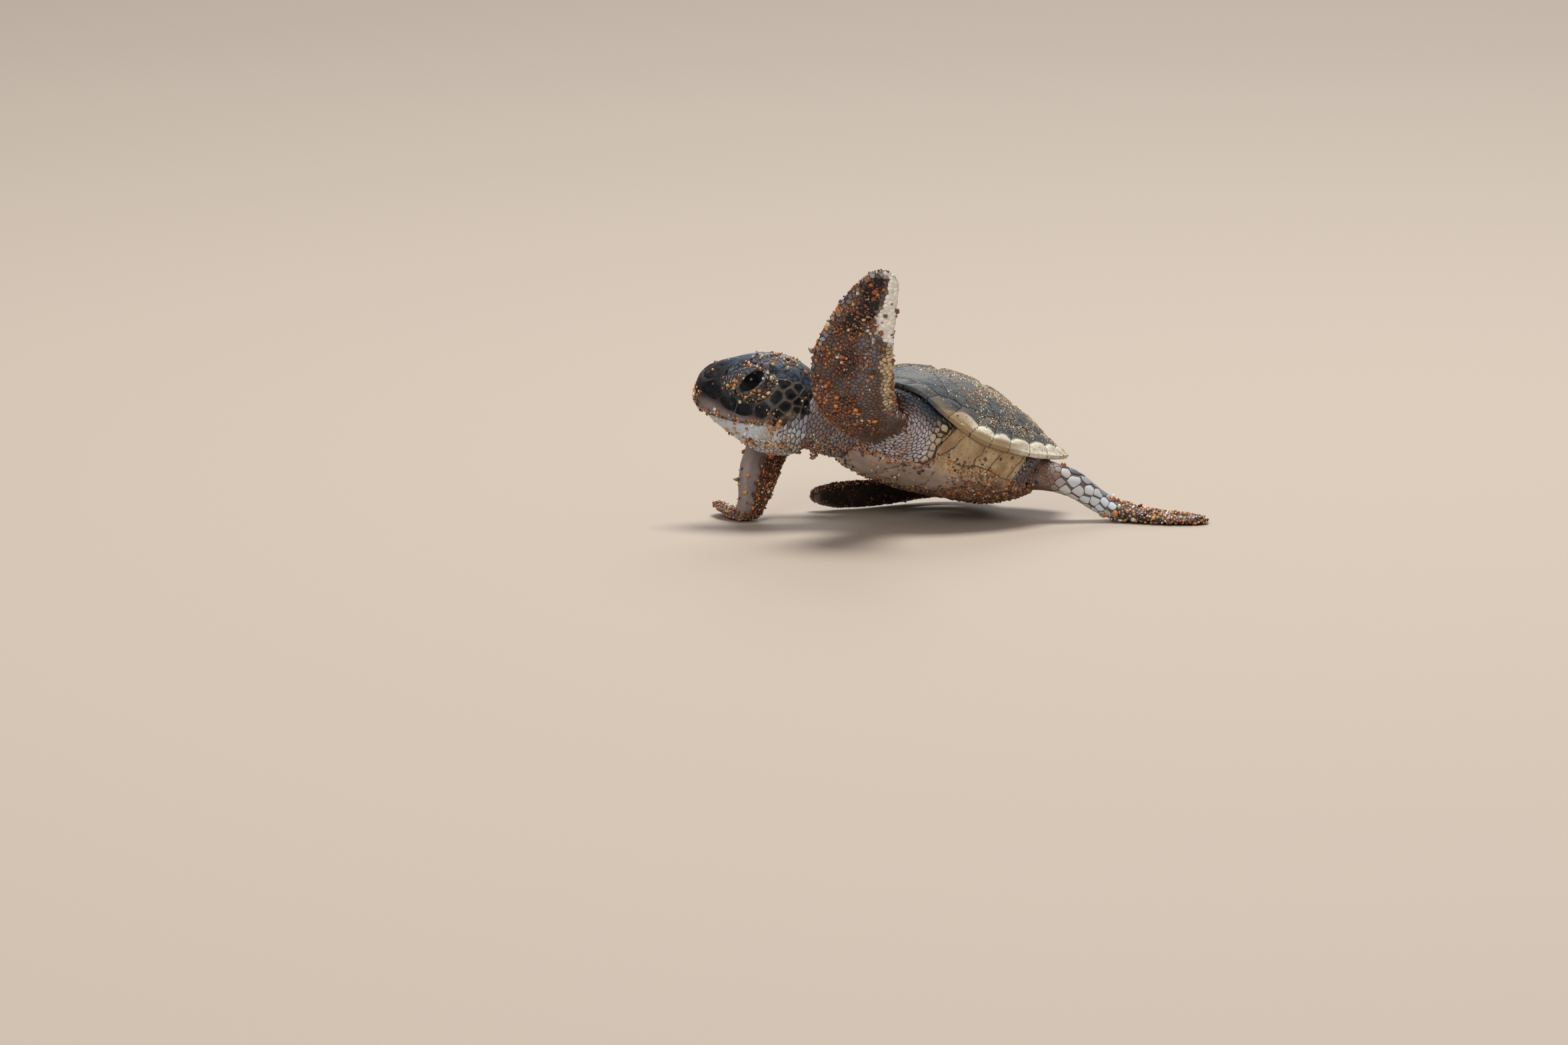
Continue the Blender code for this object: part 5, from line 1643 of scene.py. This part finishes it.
def border_colours(marks, places):
    """Pale, rounded scales stand where the shoulder meets the bridge."""
    f, l, u = into(SHELL, places).T
    share = ease(f, 10.4, 9.0) * ease(f, 4.0, 5.5) * ease(u, -2.4, -4.2) * ease(np.abs(l), 11.5, 13.0)
    return mix(marks, CREAM * 0.85, share * 0.85)


def lid_colours(marks, local):
    """The small scales of the lids are blue-grey, brown and tan, one beside another."""
    near = np.zeros(len(local))
    for side in (1, -1):
        near = np.maximum(near, eye_measures(local, side)[4] < 0.97)
    tones = np.array([BLUE * 1.3, ASH * 1.3, UMBER * 1.3, TAN * 0.6, SLATE, BLUE * 0.8, SLATE])
    own = tones[np.random.default_rng(12).integers(0, len(tones), len(local))]
    high = ease(local[:, 2] + local[:, 0] * 0.3, 4.0, 6.5)
    place = mix(np.array((0.12, 0.115, 0.105)), BLUE * 1.2, high)
    return mix(marks, mix(own, place, 0.55), near)


def plate_colours(places, cheek):
    """The plates of the head and of their edges: black with tan-grey edges on the cheek."""
    local = into(HEAD, places)
    colours = head_colours(local)
    f, _, u = local.T
    low = ease(f, -13.0, -16.5) * ease(u, 4.2, 2.0)
    middle = mix(INK * 1.2, TAN * 0.75, low)
    colours = mix(colours, middle, cheek * 0.9)
    return colours, mix(INK * 1.5, CHEEK_SEAMS, cheek)


# ---- sand that clings to the body

GRAIN_TONES = np.array([(0.60, 0.21, 0.045), (0.54, 0.28, 0.08), (0.27, 0.075, 0.025), (0.64, 0.51, 0.33),
                        (0.14, 0.055, 0.030), (0.025, 0.018, 0.015), (0.68, 0.64, 0.56), (0.38, 0.12, 0.045)])
THICKNESS, SHELL_THICKNESS = 0.75, 0.40    # of a grain, at right angles to what it clings to
LIFT = 0.22                                # how far its middle stands over the surface, against its size
LOWEST = 0.03                              # no grain reaches below this height
CLUMP_PLACE, CLUMP_COUNT = (29.3, 3.0, 0.0), 30
GRAIN_MIXES = {     # how common each tone is: orange, amber, rust, cream, brown, black, clear, red-brown
    "face": (0.25, 0.26, 0.10, 0.19, 0.05, 0.03, 0.08, 0.04),
    "flipper": (0.15, 0.09, 0.32, 0.04, 0.24, 0.03, 0.02, 0.11),
    "foot": (0.30, 0.26, 0.12, 0.14, 0.08, 0.02, 0.06, 0.04),
    "dark": (0.08, 0.08, 0.22, 0.05, 0.34, 0.14, 0.03, 0.06),
    "shell": (0.04, 0.26, 0.02, 0.40, 0.05, 0.10, 0.13, 0.0),
    "belly": (0.16, 0.14, 0.22, 0.08, 0.20, 0.13, 0.04, 0.03),
}


def grains(name, places, normals, sizes, mixture, seed, sand, thin=THICKNESS):
    """Rough little stones, each turned and shaped by chance, partly sunk where they cling."""
    dice = np.random.default_rng(seed)
    bpy.ops.mesh.primitive_ico_sphere_add(subdivisions=1, radius=1.0)
    stone = bpy.context.view_layer.objects.active
    shape = np.array([v.co for v in stone.data.vertices])
    corners = np.array([p.vertices for p in stone.data.polygons])
    bpy.data.objects.remove(stone)
    count = len(places)
    form = shape[None] * (1.0 + dice.uniform(-0.30, 0.30, (count, len(shape), 1)))
    form *= dice.uniform(0.60, 1.30, (count, 1, 3))
    spin = np.linalg.qr(dice.normal(size=(count, 3, 3)))[0]
    form = np.einsum("nvi,nij->nvj", form, spin) * (sizes / 2)[:, None, None]
    flat = (form * normals[:, None]).sum(2) * (1.0 - thin)
    form = (form - flat[..., None] * normals[:, None]) * (1.0 + 0.25 * (1.0 - thin))
    turned_in = np.linalg.det(spin) < 0
    points = form + (places + normals * (sizes * LIFT * thin)[:, None])[:, None]
    points[..., 2] = np.maximum(points[..., 2], LOWEST)
    turns = np.where(turned_in[:, None, None], corners[None][..., ::-1], corners[None])
    faces = (turns + (np.arange(count) * len(shape))[:, None, None]).reshape(-1, 3)
    made = mesh_piece(name, points.reshape(-1, 3), faces.tolist())
    odds = np.array(GRAIN_MIXES[mixture])
    tone = GRAIN_TONES[dice.choice(len(GRAIN_TONES), count, p=odds / odds.sum())]
    tone = tone * dice.uniform(0.55, 1.25, (count, 1))
    owner = np.repeat(np.arange(count), len(shape))
    write_colours(made, "marks", tone[owner])
    bake_map(made, places, owner, np.tile(shape[:, :2], (count, 1)))
    mount_piece(made, sand, "sand")


def chosen_by(density, seed):
    """Which places a density picks, each by chance."""
    return np.random.default_rng(seed).random(len(density)) < density


def room_round(piece):
    """How much of a piece's surface each of its points stands for, against the usual share."""
    area = column(piece.data.polygons, "area")
    counts = column(piece.data.polygons, "loop_total", 1, np.int32)
    share = np.bincount(corners_of(piece), np.repeat(area / counts, counts), len(piece.data.vertices))
    return np.clip(share / np.median(share), 0.0, 1.6)


def on_the_face(cover, local):
    """How thick the sand lies on the head: on the lips, the snout's tip, the crown and the jaw."""
    f, l, u = local.T
    over = over_mouth(local)
    left = np.where(l > 0, 1.0, 0.45)
    crown = bell(u - 12.6, 1.0) * ease(f, -4.0, -8.0) * ease(f, -15.0, -12.0)
    lip = bell(over - 0.25, 0.55) * ease(f, -13.2, -12.0) * ease(f, 1.5, -3.0)
    tip = ease(f, 0.8, 2.2) * ease(over, 6.5, 1.0)
    corner = bell(np.hypot(f + 13.0, over + 0.3), 1.5)
    jaw = bell(over + 3.6, 1.6) * ease(f, -3.0, -6.0) * 0.5
    orbit = np.zeros(len(local))
    for side in (1, -1):
        _, _, _, opening, ring, _ = eye_measures(local, side)
        orbit = np.maximum(orbit, ease(opening, 1.15, 1.35) * ease(ring, 1.25, 0.95))
    density = 0.50 * crown + 0.75 * lip + 1.4 * tip + 0.8 * corner + 0.7 * jaw + 0.16 * orbit + 0.012
    density *= ease(lumpy(cover.points, 2.6, 70), 0.38, 0.62) * left
    return density


def on_the_raised_flipper(down, wide, under, clump):
    """Thick over the arm's underside and along the edges, thin on the dark blade and its white margin."""
    dense = (1.0 - ease(down, 0.55, 0.86)) * ease(wide, -0.55, 0.25) * ease(down, 0.16, 0.26)
    edge = ease(wide, 0.74, 0.96) * ease(down, 0.2, 0.3)
    rear = ease(-wide, 0.7, 0.95) * (1 - ease(down, 0.46, 0.56)) * ease(down, 0.24, 0.3)
    white = ease(-wide, 0.1, 0.35) * ease(down, 0.66, 0.72)
    cover = 1.5 * dense * ease(under, -0.2, 0.3) + 0.8 * edge + 0.5 * rear + 0.3 * ease(down, 0.6, 0.9) + 0.03
    return cover * ease(clump, 0.34, 0.58) * (1.0 - 0.92 * white)


def on_the_planted_flipper(down, wide, under, clump):
    """Thick behind the smooth leading edge and on the turned blade."""
    return (1.8 * (1.0 - ease(wide, 0.05, 0.25)) * ease(down, 0.14, 0.24) + 1.2 * bell(down - 0.68, 0.08)
            + 0.6 * ease(down, 0.62, 0.7) + 0.02) * ease(clump, 0.2, 0.42)


def on_the_stretched_foot(down, wide, under, clump):
    """All over the foot, and a little at the thigh."""
    return (0.9 * ease(down, 0.44, 0.56) + 0.05 * ease(down, 0.2, 0.1)) * ease(clump, 0.3, 0.52)


def on_the_tucked_foot(down, wide, under, clump):
    """Along the blade's upper edge and at the root."""
    return (1.6 * ease(np.abs(wide), 0.62, 0.9) * ease(wide, -0.2, 0.2) + 0.5 * (1 - ease(down, 0.3, 0.4))
            + 0.05) * ease(clump, 0.3, 0.52)


LIMB_SAND = {      # limb: how thick it lies, the smallest and largest grains, the mixture
    "front_left": (on_the_raised_flipper, 0.36, 1.15, "flipper"),
    "front_right": (on_the_planted_flipper, 0.32, 0.95, "flipper"),
    "hind_left": (on_the_stretched_foot, 0.45, 1.35, "foot"),
    "hind_right": (on_the_tucked_foot, 0.3, 0.65, "dark"),
}


def on_the_shells(spots, normal, mixture):
    """How thick the sand lies on the upper shell's back half, or on the belly and along the bridge."""
    f, l, u = into(SHELL, spots).T
    clump = lumpy(spots, 3.2, 75)
    level = turn_into(SHELL, normal)[:, 2]
    if mixture == "shell":
        return (0.04 + 0.75 * ease(f, 9.0, -3.0) * ease(plan_reach(f, l), 0.93, 0.80)
                + 0.45 * bell(l, 5.0)) * ease(level, 0.2, 0.5) * ease(clump, 0.25, 0.6)
    line = (bell(u - BRIDGE_FOOT + 0.8, 1.2) * ease(f, -12.0, -8.0) * ease(f, 9.0, 4.0)
            * ease(np.abs(l), 9.0, 12.0))
    front = ease(f, 6.0, 12.0) * ease(np.abs(level), 0.95, 0.5) * (u < -9.5)
    rear = ease(f, 5.0, -5.0) * (u < -8.0) * ease(u, -8.5, -10.5)
    return (0.55 * line + 0.5 * front + 1.1 * rear + 0.02) * ease(clump, 0.3, 0.58)


def hang_clump(points, near, sand):
    """A small clump of grains that hangs under the neck."""
    under = walk(*CLUMP_PLACE) + SHIFT
    close = points[near & (np.hypot(points[:, 0] - under[0], points[:, 1] - under[1]) < 3.0)]
    root = close[close[:, 2].argmin()]
    root[:2] = (root[:2] + under[:2]) / 2
    fall = np.random.default_rng(8).random((CLUMP_COUNT, 3))
    hanging = root + (fall - (0.5, 0.5, 0.0)) * (1.1, 1.1, -2.6) * (1.2 - 0.6 * fall[:, 2:])
    up = np.tile((0.0, 0.0, 1.0), (CLUMP_COUNT, 1))
    grains("sand_clump", hanging, up, 0.4 + 0.4 * fall[:, 0], "dark", 9, sand)


def lay_sand(cover, skin, parts, shell_top, shell_low):
    """Grains on the face, the flippers, the shell and the belly, as wet sand clings."""
    sand = sand_look()
    points, normals = cover.points, cover.normals
    clump = lumpy(points, 2.6, 70)
    face = on_the_face(cover, into(HEAD, points)) * room_round(skin) * 1.2
    neck = part_of(parts, "neck", "trunk")
    low = ease(-into(SHELL, points)[:, 2], 9.0, 12.5)
    below = neck * (0.04 + 0.75 * low) * ease(clump, 0.36, 0.6) * ~hidden_inside(points)
    jobs = [("sand_face", (parts < HEAD_NODES) & chosen_by(face, 1), 0.32, 0.95, "face"),
            ("sand_neck", chosen_by(below, 2), 0.28, 0.62, "belly")]
    for seed, (limb, (rule, small, large, mixture)) in enumerate(LIMB_SAND.items(), 3):
        mine, path = part_of(parts, limb), PATHS[limb]
        down, wide, step = path.measure(points[mine])
        under = (normals[mine] * np.cross(path.along[step], path.across[step])).sum(1)
        density = np.zeros(len(points))
        density[mine] = rule(down, wide, under, clump[mine])
        jobs.append(("sand_" + limb, chosen_by(density, seed), small, large, mixture))
    hang_clump(points, neck, sand)
    for seed, (name, allowed, small, large, mixture) in enumerate(jobs):
        sizes = small + (large - small) * np.random.default_rng(seed + 30).random(len(points)) ** 2.2
        picked = scatter(cover, allowed & (points[:, 2] > 0.25), sizes * 0.8, seed + 50)
        grains(name, points[picked], normals[picked], sizes[picked], mixture, seed + 60, sand)
    for name, shell, mixture, small, large, thin in (
            ("sand_carapace", shell_top, "shell", 0.16, 0.40, SHELL_THICKNESS),
            ("sand_plastron", shell_low, "belly", 0.3, 0.75, THICKNESS)):
        part = Cover(shell)
        density = on_the_shells(part.points, part.normals, mixture)
        sizes = small + (large - small) * np.random.default_rng(80).random(len(part.points)) ** 2.0
        picked = scatter(part, chosen_by(density, 81), sizes * 0.9, 82)
        grains(name, part.points[picked], part.normals[picked], sizes[picked], mixture, 83, sand, thin)


# ---- stage

FLOOR_SIZE, FLOOR_DROP = 8.0, 0.0002       # in metres, like the places of the lamps
LAMP_AIM = Vector((0.0, 0.0, 0.02))
WARM, COOL = (1.0, 0.99, 0.97), (0.93, 0.96, 1.0)
LENS, SENSOR = 200.0, 36.0
AZIMUTH, ELEVATION, DISTANCE = math.radians(-23.0), math.radians(8.0), 1607.0
AIM_RIGHT, AIM_UP = -30.1, -0.97           # where the camera aims, from the middle of the walking frame


def floor():
    """A plain, flat, pale floor."""
    deselect()
    bpy.ops.mesh.primitive_plane_add(size=FLOOR_SIZE, location=(0.0, 0.0, -FLOOR_DROP))
    ground = added("floor")
    ground.data.materials.append(Look("plain pale floor", 0.75, specular=0.2).finish((0.50, 0.42, 0.345)))


def stand(name, data, place, turn):
    """Put a lamp or the camera in the scene."""
    made = bpy.data.objects.new(name, data)
    made.location = place
    made.rotation_mode = "QUATERNION"
    made.rotation_quaternion = turn
    SCENE.collection.objects.link(made)
    return made


def lamp(name, place, size, power, colour):
    """A round lamp that shines on the turtle."""
    data = bpy.data.lights.new(name, "AREA")
    data.shape, data.size, data.energy, data.color = "DISK", size, power, colour
    stand(name, data, place, (LAMP_AIM - Vector(place)).to_track_quat("-Z", "Y"))


def lights():
    """A soft room and three lamps, with plain colours as a camera would give them."""
    world = SCENE.world or bpy.data.worlds.new("World")
    SCENE.world = world
    world.use_nodes = True
    backdrop = world.node_tree.nodes.get("Background") or world.node_tree.nodes.new("ShaderNodeBackground")
    backdrop.inputs["Color"].default_value = (1.0, 0.97, 0.94, 1.0)
    backdrop.inputs["Strength"].default_value = 0.27
    lamp("overhead", (0.20, 0.10, 1.50), 0.68, 20.8, WARM)
    lamp("front", (-1.10, -1.40, 0.90), 0.68, 11.2, WARM)
    lamp("back", (1.05, 1.95, 1.20), 1.2, 14.4, COOL)
    SCENE.view_settings.view_transform = "Standard"


def camera():
    """Low, from the left and a little ahead, with a long lens."""
    level = math.cos(ELEVATION)
    back = Vector((math.sin(AZIMUTH) * level, -math.cos(AZIMUTH) * level, math.sin(ELEVATION)))
    right = Vector((math.cos(AZIMUTH), math.sin(AZIMUTH), 0.0))
    aim = SHIFT + right * AIM_RIGHT + back.cross(right) * AIM_UP
    data = bpy.data.cameras.new("camera")
    data.lens, data.sensor_width = LENS, SENSOR
    data.clip_start, data.clip_end = 0.05, 30.0
    SCENE.camera = stand("camera", data, (aim + back * DISTANCE) * MM, back.to_track_quat("Z", "Y"))


# ---- the dressed turtle

FACE_FROM = -16.0          # how far back the shaping of the face goes


def shape_face(skin, parts):
    """Shape the mouth, the nostrils and the lids, and keep all the skin over the floor."""
    points, normals = points_of(skin), normals_of(skin)
    local = into(HEAD, points)
    face = (local[:, 0] > FACE_FROM) & (np.abs(local[:, 1]) < 9.0) & (parts < FACE_NODES)
    face &= (local[:, 2] > -7.0) & (local[:, 2] < 14.0)
    outward = turn_into(HEAD, normals[face])
    points[face] = out_of(HEAD, shape_lids(shape_mouth(local[face], outward), outward))
    points[:, 2] = np.maximum(points[:, 2], 0.02)
    move_points(skin, points)
    return points, normals


def colour_lids(colours, local, on_head):
    """The lids and the ring round them: brown, blue and tan, with a pale stripe, and black painted shade in
    the creases and at the lids' inner edge.
    """
    lids = mix(UMBER, BLUE * 1.1, ease(lumpy(local, 0.9, 44), 0.35, 0.62))
    lids = mix(lids, TAN * 0.8, ease(lumpy(local, 0.6, 45), 0.55, 0.7))
    for side in (1, -1):
        _, _, _, opening, ring, across = eye_measures(local, side)
        own = mix(lids, BLUE * 2.4, bell(opening - 1.55, 0.14) * ease(across, 0.0, 0.9))
        own = mix(own, BLUE * 2.6, 0.8 * bell(ring - 0.93, 0.022))
        # Painted shade: black in the orbit's crease and on the lid's edge where it turns in towards the eye.
        own = mix(own, INK, np.maximum(bell(ring - 1.0, 0.055), 1 - ease(opening, 1.0, 1.12)))
        share = np.where(on_head & (ring < 1.15), 1.0 - ease(ring, 1.02, 1.10), 0.0)
        colours = mix(colours, own, share)
    return colours


def dress_skin():
    """The one skin, with its face shaped and its marks written."""
    skin = flesh_mesh()
    for step in (fill_orbits, lap_the_shell, remesh, thin_out, refine_face):
        step(skin)
    parts = FLESH_TREE.part(points_of(skin))
    points, normals = shape_face(skin, parts)
    colours = soften_colours(skin, skin_colours(points, normals, parts), 6)
    local = into(HEAD, points)
    over, present = mouth_gap(local)
    on_head = parts < HEAD_NODES
    colours = colour_lids(colours, local, on_head)
    # Painted shade in the mouth's groove and the nostrils, which the material darkens to near black.
    mouth = np.where(on_head, bell(over + 0.05, 0.16) * present, 0.0)
    for side in (1, -1):
        mouth = np.maximum(mouth, bell(nostril_gap(local, side), 0.3) * on_head)
    f, _, u = local.T
    covered = scale_sizes(points, parts, local) > 0
    on_throat = on_head & (f < -4.0) & (over < 0.0) & (f > -14.5)
    share = np.where(covered, 0.88, 0.0) * np.where(on_throat, ease(over, -2.5, -3.4), 1.0)
    colours = mix(colours, between_scales(colours, parts), share)
    cheek = on_head * ease(f, -9.0, -11.0) * ease(u, 9.5, 8.0) * ease(over, 0.6, 1.4) * ~covered
    write_colours(skin, "marks", mix(colours, CHEEK_SEAMS, cheek))
    write_values(skin, "mouth", mouth)
    return skin


FLESH_TREE = Flesh()
skin = dress_skin()
skin_parts = FLESH_TREE.part(points_of(skin))
mount_piece(skin, skin_look(), "skin", *FLESH)

shell_top = carapace()
f, l, _ = into(SHELL, points_of(shell_top)).T
reach = plan_reach(f, l)
write_values(shell_top, "tan", np.maximum(ease(f, 2.0, 8.0), ease(reach, 0.945, 0.97) * ease(f, -12.0, -4.0)))
write_values(shell_top, "ochre", 0.8 * ease(reach, 0.88, 0.97) * ease(f, 4.0, 8.0) * ease(f, 12.5, 9.5))
mount_piece(shell_top, carapace_look(), "carapace", "carapace")

shell_low = plastron()
f, _, u = into(SHELL, points_of(shell_low)).T
write_values(shell_low, "wet", ease(f, 3.0, -8.0) * ease(u, -9.2, -11.5))
mount_piece(shell_low, plastron_look(), "plastron", "plastron")

eye_shine = eye_look()
for side, name in ((1, "eye_left"), (-1, "eye_right")):
    mount_piece(eyeball(side, name + "_ball"), eye_shine, "eye", name)
claw_horn = horn_look()
for limb, share, name in (("front_left", 0.55, "claw_front_left"), ("front_right", 0.42, "claw_front_right")):
    mount_piece(claw(limb, share, name), claw_horn, "claw", name)
cover = Cover(skin)
lay_scales(cover, skin_parts, scale_look())
lay_sand(cover, skin, skin_parts, shell_top, shell_low)

floor()
lights()
camera()
